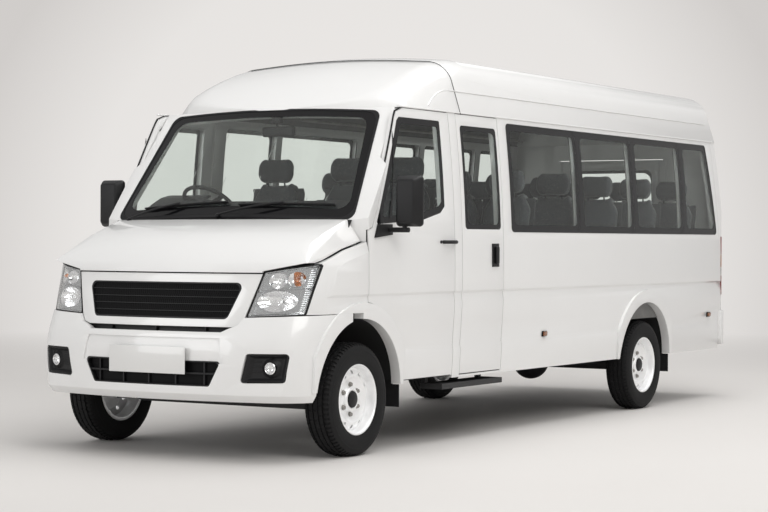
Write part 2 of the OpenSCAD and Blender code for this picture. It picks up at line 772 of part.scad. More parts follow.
// Skin of the bonnet at y, d inside: a front lip, a break, then a slope up to the windscreen;
// low is 0 up to the shoulder line and 1 on the side faces
function bonnet_line(y, d, low) = let (sag = 13 * pow(abs(y) / bonnet_y, 3)) [
    [xf + 640 - d, 700],
    [xf + 674 - d - y * y / 6400, 1136 - d + max(0, abs(y) - 700) * 0.2],
    [xf + 626 - d - y * y / 5600, 1198 - d],
    [xf + 505 - y * y / 6500, 1304 - d - 85 * low],
    [xf + 352 - y * y / 7600, 1376 - d - sag - 101 * low],
    [xf + 62 - y * y / 11000, 1464 - d - sag - 125 * low],
    [xf - 150, 1500 - d - sag - 135 * low],
    [xf - 150, 700]
];

module bonnet_body(d) hull() for (k = [0, 0.3, 0.55, 0.75, 0.85, 0.915, 1], s = [-1, 1])
    let (y = s * k * (bonnet_y - d)) along_y(y - 0.5, y + 0.5, bonnet_line(y, d, k == 1 ? 1 : 0));

module bonnet() color("white") difference() {
    bonnet_body(0);
    bonnet_body(20);
    behind_bonnet(0);
    // lower edge: level over the grille, rising over the lamps and along the wings
    along_y(-half_w, half_w, [[xf - 300, 600], [xf + 900, 600], [xf + 900, 1136], [xf + 535, 1136],
        [xf + 500, 1184], [xf + 359, 1213], [xf + 147, 1279], [xf - 24, 1316], [xf - 300, 1378]]);
    both_sides() along_x(xf + 300, xf + 900, [[lamp_inner[0][0], 1000], [lamp_inner[1][0] - 4, 1146],
        [965, 1196], [1200, 1198], [1200, 1000]]);
}

// ---- doors ----------------------------------------------------------------------------------

front_glass_p = rounded([[xf - 180, 1434], [xf - 498, 2100], [xf - 530, 2126], [xf - 1050, 2126],
    [xf - 1048, 1560], [xf - 990, 1516], [xf - 760, 1468]], 14);
front_glass_in_p = rounded([[xf - 208, 1451], [xf - 509, 2086], [xf - 537, 2110], [xf - 1034, 2110],
    [xf - 1032, 1568], [xf - 982, 1533], [xf - 752, 1484]], 12);
function entry_glass(g) = rounded([[x_entry0 - 44 - g, 1412 + g], [x_entry0 - 44 - g, 2112 - g],
    [x_entry1 + 30 + g, 2112 - g], [x_entry1 + 30 + g, 1412 + g]], 28);

function entry_outline(g) = [[x_entry0 + g, sill_h + 22 - g], [x_entry0 + g, drip_h - 9 + g],
    [x_entry1 - g, drip_h - 9 + g], [x_entry1 - g, sill_h + 22 - g]];

module front_door() difference() {
    intersection() {
        side_wall(x_door1, x_cowl);
        along_y(500, 1200, front_door_outline(0));
    }
    arch_zone(shut_gap);
    window_cut(front_glass_p, front_glass_in_p);
}

module front_door_left() color("white") front_door();
module front_door_right() color("white") mirror([0, 1, 0]) front_door();
module front_window_left() color("darkslategray") pane(front_glass_fit);
module front_window_right() color("darkslategray") mirror([0, 1, 0]) pane(front_glass_fit);
front_glass_fit = rounded([[xf - 181, 1435], [xf - 499, 2099], [xf - 531, 2125], [xf - 1049, 2125],
    [xf - 1047, 1561], [xf - 989, 1517], [xf - 759, 1469]], 14);

module passenger_door() color("white") difference() {
    intersection() {
        side_wall(x_entry1, x_entry0);
        along_y(500, 1200, entry_outline(0));
    }
    window_cut(entry_glass(0), entry_glass(ledge_w));
}

module passenger_door_window() color("darkslategray") pane(entry_glass(eps));

module mirror_left_solid() {
    c = [xf - 312, 1186, 1580];
    hull() {
        for (y = [-50, 50], z = [-118, 118]) translate(c + [26, y, z]) sphere(r = 24, $fn = 24);
        for (y = [-70, 70], z = [-134, 134]) translate(c + [-14, y, z]) sphere(r = 26, $fn = 24);
    }
    rod_y(c[0], 1400, 16, side_y(1400, 0) + 1, c[1] + 1);
    translate([c[0], c[1] - 30, 1400]) cylinder(r = 15, h = 90);
    intersection() {
        along_y(900, 1080, [[xf - 150, 1350], [xf - 190, 1436], [xf - 355, 1436], [xf - 355, 1370]]);
        side_layer(xf - 400, xf, -14, -eps);
    }
}

module mirror_left() color("black") mirror_left_solid();
module mirror_right() color("black") mirror([0, 1, 0]) mirror_left_solid();

// Body shell up to the drip line, d inside
module body_solid(d) intersection() {
    along_x(x_tail, x_nose, let (p = side_line(sill_h, drip_h - eps, d)) concat(p, across(p)));
    rear_trim(d);
    tail_plan(d);
}

// Frame of the rear wall: z runs up its slope, x points forward and x = 0 is the outer face
module on_tail() translate([x_tail + 60, 0, rear_z0]) rotate([0, lean, 0]) children();

module rear_panel() color("white") {
    // flange that the rear door closes against
    both_sides() on_tail() {
        block([rear_t - 8, rear_door_w / 2 + shut_gap + 2, 60], [rear_t + 12, rear_door_w / 2 + 40, 1290]);
        block([rear_t + eps, rear_door_w / 2 - 25, 60], [rear_t + 12, rear_door_w / 2 + 40, 1290]);
    }
    rear_wall();
}

module rear_wall() difference() {
    body_solid(0);
    body_solid(rear_t);
    rear_trim(corner_l - eps);
    block([x_tail, -half_w, 0], [x_nose, half_w, 470]);
    on_tail() block([-200, -rear_door_w / 2 - shut_gap, 50 - shut_gap],
        [400, rear_door_w / 2 + shut_gap, 1300 + shut_gap]);
    both_sides() tail_lamp_zone(eps);
    bumper_zone();
}

module tail_lamp_zone(g) block([x_tail - 100, 905 - g, 880 - g], [x_tail + 60 + 115, 1200, 1380 + g]);

module bumper_zone() block([x_tail - 100, -1200, 300], [x_tail + 190 + eps, 1200, 742 + eps]);

module tail_lamps() color("darkred") both_sides() intersection() {
    difference() {
        body_solid(-4);
        body_solid(30);
    }
    tail_lamp_zone(0);
    difference() {
        block([x_tail - 100, 0, 0], [x_nose, 1200, 2000]);
        rear_trim(corner_l);
    }
}

module rear_bumper() color("white") difference() {
    intersection() {
        along_z(450, 742, let (r = 150, p = concat([[x_tail + 190, -half_w - 6]],
            arc([x_tail + r, -half_w - 6 + r], r, 270, 180, 6),
            arc([x_tail + r, half_w + 6 - r], r, 180, 90, 6),
            [[x_tail + 190, half_w + 6]])) p);
        along_y(-1200, 1200, [[x_tail + 25, 450], [x_tail, 500], [x_tail, 730], [x_tail + 12, 742],
            [x_tail + 190, 742], [x_tail + 190, 500], [x_tail + 160, 450]]);
    }
    along_z(400, 800, let (r = 130, x = x_tail + 45, p = concat([[x_tail + 300, -half_w + 45]],
        arc([x + r, -half_w + 45 + r], r, 270, 180, 6), arc([x + r, half_w - 45 - r], r, 180, 90, 6),
        [[x_tail + 300, half_w - 45]])) p);
}

module rear_door() color("white") on_tail() difference() {
    block([0, -rear_door_w / 2, 50], [rear_t, rear_door_w / 2, 1300]);
    along_x(-10, rear_t + 10, rear_glass(ledge_w));
    along_x(-10, glass_t + 1 + eps, rear_glass(0));
}

function rear_glass(g) = rounded([[rear_door_w / 2 - 90 - g, 670 + g], [rear_door_w / 2 - 90 - g, 1230 - g],
    [g + 90 - rear_door_w / 2, 1230 - g], [g + 90 - rear_door_w / 2, 670 + g]], 50);

module rear_door_window() color("darkslategray") on_tail() along_x(1, glass_t + 1, rear_glass(eps));

// ---- inside ---------------------------------------------------------------------------------

module dashboard() color("dimgray") difference() {
    union() {
        along_y(-880, 880, [[xf - 140 - eps, 1290], [xf - 172, 1440], [xf - 300, 1520], [xf - 385, 1500],
            [xf - 430, 1350], [xf - 380, 1050], [xf - 140 - eps, 1000]]);
        along_y(steer_y - 190, steer_y + 190, [[xf - 240, 1480], [xf - 290, 1585], [xf - 345, 1560],
            [xf - 380, 1480]]);
        translate([steer_x, steer_y, steer_z]) rotate([0, -steer_lean, 0]) {
            translate([0, 0, -330]) cylinder(r = 38, h = 290);
            translate([0, 0, -60]) cylinder(r = 12, h = 55);
        }
    }
}

module steering_wheel() color("black") translate([steer_x, steer_y, steer_z]) rotate([0, -steer_lean, 0])
    difference() {
        union() {
            rotate_extrude() translate([steering_wheel_r - 14, 0]) circle(r = 14, $fn = 32);
            translate([0, 0, -30]) cylinder(r = 55, h = 40);
            for (a = [0, 120, 240]) rotate([0, 0, a + 180]) translate([40, -16, -14])
                cube([steering_wheel_r - 50, 32, 16]);
        }
        translate([0, 0, -40]) cylinder(r = 12.05, h = 36);
    }

// One seat whose cushion starts at x and is centred on y; head is the headrest's height above the floor
module seat(x, y, head) {
    z = floor_h;
    w = seat_w / 2;
    translate([x, y, z]) {
        along_y(-w, w, [[0, seat_h - 110], [450, seat_h - 95], [470, seat_h - 20],
            [440, seat_h + 10], [60, seat_h - 10],
            [20, seat_h + 60], [-90, head - 210], [-130, head - 190], [-175, head - 200], [-190, head - 240],
            [-80, seat_h - 100]]);
        along_y(-125, 125, [[-110, head - 215], [-95, head - 190], [-95, head - 15],
            [-120, head], [-170, head],
            [-195, head - 20], [-195, head - 190], [-170, head - 215]]);
        block([-20, -w + 50, 0], [0, w - 50, seat_h - 90]);
        block([380, -w + 50, 0], [400, w - 50, seat_h - 90]);
        block([-50, -w + 60, 0], [430, -w + 90, 12]);
        block([-50, w - 90, 0], [430, w - 60, 12]);
    }
}

module cab_seats() color("dimgray") for (y = [steer_y, 185, 635]) seat(xf - 1050, y, 1200);

module passenger_seats() color("dimgray") difference() {
    for (i = [0 : row_n - 1]) {
        x = x_row0 - i * row_pitch;
        for (y = [730, 730 - seat_w - 12]) seat(x, y, 1150);
        seat(x, -730, 1150);
        if (i == row_n - 1) seat(x, -730 + seat_w + 12, 1150);
    }
    both_sides() rod_y(xr, arch_z, arch_r + 22 + eps, 720 - eps, half_w);
}

// ---- wheels and steering --------------------------------------------------------------------

// Turn a shape made around Z so that its axis lies along Y at the wheel of axle x, outwards on the left
module at_wheel(x) translate([x, wheel_y, axle_z]) rotate([-90, 0, 0]) children();

module rim() difference() {
    rotate_extrude() polygon([[hub_bore, -35], [68, -35], [72, 14], [120, 20], [150, 34], [rim_in - 9, 16],
        [rim_in, 8], [rim_in, -88], [rim_d / 2, -88], [rim_d / 2, -80], [bead_r, -76], [bead_r, 76],
        [rim_d / 2, 80], [rim_d / 2, 86], [rim_d / 2 - 8, 88], [rim_in, 82], [rim_in, 24], [rim_in - 9, 30],
        [150, 47], [120, 32], [80, 24], [76, 40], [56, 46], [56, 34], [hub_bore, 34]]);
    for (i = [0 : vent_n - 1]) rotate([0, 0, i * 360 / vent_n]) translate([168, 0, -20])
        cylinder(r = 13, h = 90);
}

module tyre() rotate_extrude() polygon(concat([[bead_r + eps, -75.4], [rim_d / 2 + 1, -79.2],
    [rim_d / 2 + 1, -88], [rim_d / 2 + 30, -tyre_w / 2 + 1]],
    [[tyre_r - 62, -tyre_w / 2]], arc([tyre_r - 30, -tyre_w / 2 + 34], 30, 200, 350, 6),
    [[tyre_r, -tyre_w / 2 + 52], [tyre_r, tyre_w / 2 - 52]],
    arc([tyre_r - 30, tyre_w / 2 - 34], 30, 10, 160, 6), [[tyre_r - 62, tyre_w / 2]],
    [[rim_d / 2 + 30, tyre_w / 2 - 1], [rim_d / 2 + 1, 88], [rim_d / 2 + 1, 79.2],
        [bead_r + eps, 75.4]]));

module rim_front_left() color("silver") at_wheel(xf) rim();
module rim_rear_left() color("silver") at_wheel(xr) rim();
module rim_front_right() color("silver") mirror([0, 1, 0]) at_wheel(xf) rim();
module rim_rear_right() color("silver") mirror([0, 1, 0]) at_wheel(xr) rim();
module tyre_front_left() color("black") at_wheel(xf) tyre();
module tyre_rear_left() color("black") at_wheel(xr) tyre();
module tyre_front_right() color("black") mirror([0, 1, 0]) at_wheel(xf) tyre();
module tyre_rear_right() color("black") mirror([0, 1, 0]) at_wheel(xr) tyre();

// Forked knuckle on its pin, with the stub that the front wheel turns on
module knuckle() {
    translate([xf, kingpin_y, axle_z - 70]) cylinder(r = kingpin_r, h = 140);
    for (z = [axle_z - 68, axle_z + 48]) translate([xf, kingpin_y, z]) {
        cylinder(r = 25, h = 20);
        block([-25, 0, 0], [25, 70, 20]);
    }
    block([xf - 30, kingpin_y + 45, axle_z - 68], [xf + 30, kingpin_y + 72, axle_z + 68]);
    rod_y(xf, axle_z, hub_bore - 0.05, kingpin_y + 70, wheel_y + 30);
}

module knuckle_left() color("dimgray") knuckle();
module knuckle_right() color("dimgray") mirror([0, 1, 0]) knuckle();

chassis_frame();
front_carrier();
radiator();
floor();
wheel_housings();
body_side_left();
body_side_right();
roof();
roof_cap();
windscreen_frame();
windscreen();
front_wings();
nose_panel();
grille();
headlamps();
front_bumper();
side_glass();
rear_panel();
rear_bumper();
tail_lamps();
step_board();
mud_flaps();
engine();
dashboard();
cab_seats();
passenger_seats();
front_axle();
rear_axle();
leaf_springs();
exhaust();
fuel_tank();
bonnet();
front_door_left();
front_window_left();
mirror_left();
front_door_right();
front_window_right();
mirror_right();
passenger_door();
passenger_door_window();
rear_door();
rear_door_window();
steering_wheel();
knuckle_left();
knuckle_right();
rim_front_left();
rim_front_right();
rim_rear_left();
rim_rear_right();
tyre_front_left();
tyre_front_right();
tyre_rear_left();
tyre_rear_right();
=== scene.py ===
"""Looks of a long high-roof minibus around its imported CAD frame."""
import math

import bpy
from mathutils import Matrix, Vector


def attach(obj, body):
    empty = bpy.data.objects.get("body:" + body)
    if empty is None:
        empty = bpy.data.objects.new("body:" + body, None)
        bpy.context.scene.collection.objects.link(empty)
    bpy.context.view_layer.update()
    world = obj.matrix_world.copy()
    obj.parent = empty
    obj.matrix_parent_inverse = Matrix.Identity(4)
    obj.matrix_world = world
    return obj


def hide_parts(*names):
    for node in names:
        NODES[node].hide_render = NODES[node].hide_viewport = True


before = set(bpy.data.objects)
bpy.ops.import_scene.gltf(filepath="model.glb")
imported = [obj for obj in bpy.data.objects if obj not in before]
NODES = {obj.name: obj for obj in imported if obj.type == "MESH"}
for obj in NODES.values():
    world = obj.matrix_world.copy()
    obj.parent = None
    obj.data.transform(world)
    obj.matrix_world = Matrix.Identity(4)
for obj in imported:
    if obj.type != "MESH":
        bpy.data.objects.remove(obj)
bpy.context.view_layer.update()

bl_info = {
    "name": "Minibus looks",
    "version": (1, 0, 0),
    "blender": (4, 5, 0),
    "location": "View3D > Sidebar > Minibus",
    "description": "Paint, glass, lamps, tyres, trim and seats of a long high-roof minibus",
    "category": "Object",
}

# Sizes shared with the CAD frame, in metres
HALF_W = 1.035
WAIST_Z = 1.10
SIDE_R = 8.9
X_NOSE = 3.42
XF = X_NOSE - 0.81
XR = XF - 4.29
X_TAIL = -3.42
AXLE_Z = 0.35
WHEEL_Y = 0.9245
X_COWL = XF - 0.09
X_DOOR1 = X_COWL - 1.08
X_ENTRY0 = X_DOOR1 - 0.11
X_ENTRY1 = X_ENTRY0 - 0.58
X_BAND0 = X_ENTRY1 - 0.115
BAND_END = X_TAIL + 0.25
BAND_Z = (1.405, 2.150)
PILLAR_W = 0.044
BAND_LEAN = (BAND_Z[1] - BAND_Z[0]) * math.tan(math.radians(11))
FIRST_PANE = 1.13
PANE_SHARES = 2.73  # two whole panes and a shorter last one behind the first
DRIP_Z = 2.195
ROOF_Z = 2.62
CAP_FRONT = 0.508
CAP_RUN = 1.10
CABIN_FLOOR_Z = 0.70
SEAT_ROWS = [0.27 - 0.75 * i for i in range(5)]
CAB_SEAT_X = XF - 1.05
STEER = Vector((XF - 0.40, -0.42, 1.57))
STEER_LEAN = math.radians(38)
SCREEN = Vector((XF - 0.063, 0, 1.466))
SCREEN_TILT = math.radians(36)
SCREEN_BOW = 7.2
TAIL_LEAN = math.radians(5)
TAIL_FOOT = Vector((X_TAIL + 0.06, 0, 0.76))
NOSE_LEAN = math.radians(12.6)
CAMERA = Vector((13.110, 7.604, 1.327))
CAMERA_TURN = math.radians(31.398)
CAMERA_DIP = math.radians(0.4146)
CAMERA_ROLL = math.radians(0.23)


# ---- making and shaping -------------------------------------------------------------------

def fresh():
    """Nothing selected, object mode."""
    if bpy.context.mode != "OBJECT":
        bpy.ops.object.mode_set(mode="OBJECT")
    bpy.ops.object.select_all(action="DESELECT")


def take(obj):
    fresh()
    obj.select_set(True)
    bpy.context.view_layer.objects.active = obj
    return obj


def named(name):
    obj = bpy.context.active_object
    obj.name = name
    obj.data.name = name
    return obj


def settle(obj):
    take(obj)
    bpy.ops.object.transform_apply(location=True, rotation=True, scale=True)
    return obj


def edit(obj, mode="FACE"):
    take(obj)
    bpy.ops.object.mode_set(mode="EDIT")
    bpy.ops.mesh.select_mode(type=mode)
    bpy.ops.mesh.select_all(action="DESELECT")


def done():
    bpy.ops.object.mode_set(mode="OBJECT")


def pick(obj, test, kind="faces"):
    """Select the faces, edges or vertices for which the test is true, then enter edit mode."""
    edit(obj, {"faces": "FACE", "edges": "EDGE", "vertices": "VERT"}[kind])
    done()
    for item in getattr(obj.data, kind if kind != "faces" else "polygons"):
        item.select = bool(test(item))
    bpy.ops.object.mode_set(mode="EDIT")


def modify(obj, kind, **settings):
    take(obj)
    modifier = obj.modifiers.new(kind.title(), kind)
    for key, value in settings.items():
        setattr(modifier, key, value)
    bpy.ops.object.modifier_apply(modifier=modifier.name)
    return obj


def smooth(obj, degrees=35):
    take(obj)
    bpy.ops.object.shade_smooth_by_angle(angle=math.radians(degrees))
    return obj


def round_edges(obj, width, segments=3, degrees=30):
    modify(obj, "BEVEL", width=width, segments=segments, limit_method="ANGLE",
           angle_limit=math.radians(degrees), use_clamp_overlap=True, miter_outer="MITER_ARC")
    return smooth(obj, 40)


def outward(obj):
    edit(obj)
    bpy.ops.mesh.select_all(action="SELECT")
    bpy.ops.mesh.remove_doubles(threshold=1e-5)
    bpy.ops.mesh.normals_make_consistent(inside=False)
    done()
    return obj


def join(name, pieces):
    fresh()
    for piece in pieces:
        piece.select_set(True)
    bpy.context.view_layer.objects.active = pieces[0]
    if len(pieces) > 1:
        bpy.ops.object.join()
    return named(name)


def twin(obj, name, matrix=None):
    """A copy with a mesh of its own, moved by the matrix."""
    copy = obj.copy()
    copy.data = obj.data.copy()
    copy.name = name
    bpy.context.scene.collection.objects.link(copy)
    if matrix is not None:
        copy.data.transform(matrix)
        if matrix.determinant() < 0:
            copy.data.flip_normals()
    return copy


FLIP_Y = Matrix.Diagonal((1, -1, 1, 1))


def cad_copy(node, name):
    """A clean copy of a CAD node: its loose triangles merged and its flat faces made whole."""
    copy = bpy.data.objects.new(name, NODES[node].data.copy())
    bpy.context.scene.collection.objects.link(copy)
    copy.data.materials.clear()
    edit(copy)
    bpy.ops.mesh.select_all(action="SELECT")
    bpy.ops.mesh.remove_doubles(threshold=2e-5)
    bpy.ops.mesh.dissolve_limited(angle_limit=math.radians(0.3))
    done()
    return copy


def box(name, low, high, bevel=0.0, segments=2):
    fresh()
    low, high = Vector(low), Vector(high)
    bpy.ops.mesh.primitive_cube_add(size=1, location=(low + high) / 2)
    obj = named(name)
    obj.dimensions = high - low
    settle(obj)
    if bevel:
        round_edges(obj, bevel, segments)
    return obj


def disc(name, centre, radius, depth, axis=(0, 1, 0), vertices=32, bevel=0.0):
    """Short round bar centred on a point, with its edges rounded."""
    fresh()
    bpy.ops.mesh.primitive_cylinder_add(vertices=vertices, radius=radius, depth=depth, location=(0, 0, 0))
    obj = named(name)
    if bevel:
        round_edges(obj, bevel, 2)
    aim = Vector(axis).to_track_quat("Z", "Y").to_matrix().to_4x4()
    obj.data.transform(Matrix.Translation(centre) @ aim)
    return smooth(obj, 40)


def spun(name, profile, steps=48, matrix=None, closed=False):
    """Turn an open or closed profile of (radius, height) once round Z."""
    fresh()
    bpy.ops.mesh.primitive_circle_add(vertices=len(profile), radius=1, fill_type="NOTHING")
    obj = named(name)
    for vertex, (r, h) in zip(obj.data.vertices, profile):
        vertex.co = (r, 0, h)
    if not closed:
        ends = {len(profile) - 1, 0}
        pick(obj, lambda e: set(e.vertices) == ends, "edges")
        bpy.ops.mesh.delete(type="EDGE_FACE")
        done()
    edit(obj, "EDGE")
    bpy.ops.mesh.select_all(action="SELECT")
    bpy.ops.mesh.spin(steps=steps, angle=2 * math.pi, center=(0, 0, 0), axis=(0, 0, 1), use_auto_merge=True)
    bpy.ops.mesh.select_all(action="SELECT")
    bpy.ops.mesh.remove_doubles(threshold=1e-5)
    bpy.ops.mesh.normals_make_consistent(inside=False)
    done()
    if matrix is not None:
        obj.data.transform(matrix)
    return smooth(obj, 35)


def rounded(points, radius, steps=5):
    """Corner-rounded outline of a convex polygon."""
    out = []
    count = len(points)
    for i in range(count):
        c = Vector(points[i])
        a = (Vector(points[i - 1]) - c)
        b = (Vector(points[(i + 1) % count]) - c)
        ua, ub = a.normalized(), b.normalized()
        half = ua.angle(ub) / 2
        k = min(radius / math.tan(half), a.length * 0.49, b.length * 0.49)
        r = k * math.tan(half)
        m = c + (ua + ub).normalized() * r / math.sin(half)
        s = math.atan2(*(c + ua * k - m).yx)
        e = math.atan2(*(c + ub * k - m).yx)
        turn = (e - s + math.pi) % (2 * math.pi) - math.pi
        out += [(m.x + r * math.cos(s + turn * j / steps), m.y + r * math.sin(s + turn * j / steps))
                for j in range(steps + 1)]
    return out


def oblong(low, high):
    """The four corners between two opposite ones."""
    return [low, (high[0], low[1]), high, (low[0], high[1])]


def divided(loop, corner_steps, parts):
    """The same loop with each straight run between corners cut into equal parts."""
    out = []
    per = corner_steps + 1
    for i, point in enumerate(loop):
        out.append(Vector(point))
        if i % per == per - 1:
            nxt = Vector(loop[(i + 1) % len(loop)])
            out += [Vector(point).lerp(nxt, k / parts) for k in range(1, parts)]
    return out


def band_between(name, outer, inner, place, thick):
    """Flat band between two loops of equal count, laid on a surface by place(u, v, depth)."""
    fresh()
    count = len(outer)
    bpy.ops.mesh.primitive_circle_add(vertices=count, radius=1, fill_type="NOTHING")
    obj = named(name)
    for vertex, point in zip(obj.data.vertices, outer):
        vertex.co = place(point[0], point[1], 0)
    edit(obj, "EDGE")
    bpy.ops.mesh.select_all(action="SELECT")
    bpy.ops.mesh.extrude_edges_move()
    done()
    for vertex, point in zip(obj.data.vertices[count:], inner):
        vertex.co = place(point[0], point[1], 0)
    source = {tuple(v.co): p for v, p in zip(obj.data.vertices, list(outer) + list(inner))}
    edit(obj)
    bpy.ops.mesh.select_all(action="SELECT")
    bpy.ops.mesh.extrude_region_move()
    done()
    for vertex in obj.data.vertices:
        if vertex.select:
            point = source[tuple(vertex.co)]
            vertex.co = place(point[0], point[1], thick)
    return outward(obj)


def sheet_on(name, outline, place, thick, columns=2, rows=12):
    """Closed thin sheet over a four-cornered outline, laid on a surface by place(u, v, depth)."""
    fresh()
    bpy.ops.mesh.primitive_grid_add(x_subdivisions=columns, y_subdivisions=rows, size=1)
    obj = named(name)
    a, b, c, d = [Vector(p) for p in outline]
    for vertex in obj.data.vertices:
        u, v = vertex.co.x + 0.5, vertex.co.y + 0.5
        point = a.lerp(b, u).lerp(d.lerp(c, u), v)
        vertex.co = (point.x, point.y, 0)
    edit(obj)
    bpy.ops.mesh.select_all(action="SELECT")
    bpy.ops.mesh.extrude_region_move()
    done()
    for vertex in obj.data.vertices:
        depth = thick if vertex.select else 0
        vertex.co = place(vertex.co.x, vertex.co.y, depth)
    return outward(obj)


def side_y(z, depth=0.0):
    return HALF_W - depth - (z - WAIST_Z) ** 2 / (2 * SIDE_R)


def on_left(x, z, depth):
    return (x, side_y(z, depth), z)


def pane_x(i):
    """X of the pillar before side pane i, and of the band's end."""
    if i == 0:
        return X_BAND0
    if i == 4:
        return BAND_END
    return X_BAND0 - FIRST_PANE - (i - 1) * (X_BAND0 - BAND_END - FIRST_PANE) / PANE_SHARES


def on_screen(y, up, depth):
    """Point on the windscreen: up is along its slope, depth is inwards."""
    centre = -math.sqrt(SCREEN_BOW ** 2 - 0.923 ** 2)
    out = centre + math.sqrt((SCREEN_BOW - depth) ** 2 - y * y)
    return (SCREEN.x + out * math.cos(SCREEN_TILT) - up * math.sin(SCREEN_TILT), y,
            SCREEN.z + out * math.sin(SCREEN_TILT) + up * math.cos(SCREEN_TILT))


def on_tail(y, up, depth):
    """Point on the rear wall: up is along its slope, depth is inwards."""
    return (TAIL_FOOT.x + depth * math.cos(TAIL_LEAN) + up * math.sin(TAIL_LEAN), y,
            TAIL_FOOT.z - depth * math.sin(TAIL_LEAN) + up * math.cos(TAIL_LEAN))


def plan_x(y, front, half, depth=0.0):
    """X of the nose plan: a shallow arc that runs into a corner arc."""
    y = abs(y)
    corner, bow = 0.28, 3.2
    corner_y = half - corner
    corner_x = front - bow + math.sqrt((bow - corner) ** 2 - corner_y ** 2)
    if y <= (bow - depth) * corner_y / (bow - corner):
        return front - bow + math.sqrt((bow - depth) ** 2 - y * y)
    return corner_x + math.sqrt(max(0.0, (corner - depth) ** 2 - (y - corner_y) ** 2))


def nose_x(y, z, depth=0.0):
    """X of the nose's leaning face at lamp height."""
    pivot = XF + 0.741
    flat = plan_x(y, pivot, HALF_W, depth)
    return pivot + (flat - pivot) / math.cos(NOSE_LEAN) - (z - 0.8) * math.tan(NOSE_LEAN)


def bumper_x(y, depth=0.0):
    return plan_x(y, X_NOSE - 0.003, HALF_W - 0.002, depth)


def on_nose(y, z, depth):
    return (nose_x(y, z, depth), y, z)


def on_bumper(y, z, depth):
    return (bumper_x(y, depth), y, z)


def roof_section(x, lift=0.0):
    """Left half of the roof's outline at x, from the drip line to the middle."""
    rise = (XF - CAP_FRONT - x) / CAP_RUN
    rise = 1.0 if rise > 1 else 1 - (1 - max(rise, 0)) ** 1.8
    wide = 1 - math.exp((x - XF + CAP_FRONT) / 0.080)
    points = [(side_y(DRIP_Z) + 0.01, DRIP_Z - 0.012)]
    points += [(0.70 + (0.215 + lift) * math.cos(math.radians(a)),
                2.37 + (0.215 + lift) * math.sin(math.radians(a)))
               for a in (16 + 69 * i / 14 for i in range(15))]
    points += [(y, ROOF_Z + lift - y * y / 13.8) for y in (0.70 * (8 - i) / 8 for i in range(1, 9))]
    return [(y * wide, DRIP_Z + (z - DRIP_Z) * rise) for y, z in points]


# ---- finishes -----------------------------------------------------------------------------

def new_material(name, color, roughness, metallic=0.0, **sockets):
    material = bpy.data.materials.new(name)
    material.use_nodes = True
    shader = material.node_tree.nodes["Principled BSDF"]
    shader.inputs["Base Color"].default_value = (*color[:3], 1)
    shader.inputs["Roughness"].default_value = roughness
    shader.inputs["Metallic"].default_value = metallic
    for key, value in sockets.items():
        shader.inputs[key.replace("_", " ")].default_value = value
    return material, material.node_tree, shader


def coordinates(tree, scale=(1, 1, 1)):
    source = tree.nodes.new("ShaderNodeTexCoord")
    mapping = tree.nodes.new("ShaderNodeMapping")
    mapping.inputs["Scale"].default_value = scale
    tree.links.new(source.outputs["Object"], mapping.inputs["Vector"])
    return mapping.outputs["Vector"]


def noise(tree, vector, scale, detail=4, rough=0.5):
    node = tree.nodes.new("ShaderNodeTexNoise")
    node.inputs["Scale"].default_value = scale
    node.inputs["Detail"].default_value = detail
    node.inputs["Roughness"].default_value = rough
    tree.links.new(vector, node.inputs["Vector"])
    return node.outputs["Fac"]


def ramp(tree, value, stops):
    node = tree.nodes.new("ShaderNodeValToRGB")
    elements = node.color_ramp.elements
    while len(elements) < len(stops):
        elements.new(0.5)
    for element, (at, color) in zip(elements, stops):
        element.position = at
        element.color = (*color[:3], 1)
    tree.links.new(value, node.inputs["Fac"])
    return node.outputs["Color"]


def remap(tree, value, low, high):
    node = tree.nodes.new("ShaderNodeMapRange")
    node.inputs["To Min"].default_value = low
    node.inputs["To Max"].default_value = high
    tree.links.new(value, node.inputs["Value"])
    return node.outputs["Result"]


def span(tree, value, low, high):
    """0 up to low, 1 from high."""
    node = tree.nodes.new("ShaderNodeMapRange")
    node.inputs["From Min"].default_value = low
    node.inputs["From Max"].default_value = high
    tree.links.new(value, node.inputs["Value"])
    return node.outputs["Result"]


def bump(tree, shader, height, strength, distance):
    node = tree.nodes.new("ShaderNodeBump")
    node.inputs["Strength"].default_value = strength
    node.inputs["Distance"].default_value = distance
    tree.links.new(height, node.inputs["Height"])
    tree.links.new(node.outputs["Normal"], shader.inputs["Normal"])


def varied(tree, shader, vector, color, spread, scale, roughness=None):
    """Slight cloudy change of colour and roughness over a surface."""
    cloud = noise(tree, vector, scale, 5, 0.6)
    dark = [c * (1 - spread) for c in color[:3]]
    light = [min(1, c * (1 + spread)) for c in color[:3]]
    tree.links.new(ramp(tree, cloud, [(0.3, dark), (0.7, light)]), shader.inputs["Base Color"])
    if roughness:
        tree.links.new(remap(tree, cloud, *roughness), shader.inputs["Roughness"])
    return cloud


def body_paint(color):
    material, tree, shader = new_material("gloss_paint", color, 0.30, Coat_Weight=1.0, Coat_Roughness=0.04)
    vector = coordinates(tree)
    varied(tree, shader, vector, color, 0.012, 1.3, (0.26, 0.36))
    bump(tree, shader, noise(tree, vector, 260, 2), 0.03, 0.0004)
    return material


def moulded_white(color, name="painted_bumper"):
    material, tree, shader = new_material(name, color, 0.33, Coat_Weight=0.8, Coat_Roughness=0.07)
    vector = coordinates(tree)
    varied(tree, shader, vector, color, 0.015, 2.1, (0.30, 0.40))
    bump(tree, shader, noise(tree, vector, 180, 3), 0.05, 0.0005)
    return material


def grained_plastic(name, color, roughness=(0.42, 0.58), grain=900, shine=0.34):
    material, tree, shader = new_material(name, color, 0.5, Specular_IOR_Level=shine)
    vector = coordinates(tree)
    varied(tree, shader, vector, color, 0.18, 7, roughness)
    cells = tree.nodes.new("ShaderNodeTexVoronoi")
    cells.inputs["Scale"].default_value = grain
    tree.links.new(vector, cells.inputs["Vector"])
    bump(tree, shader, cells.outputs["Distance"], 0.25, 0.0006)
    return material


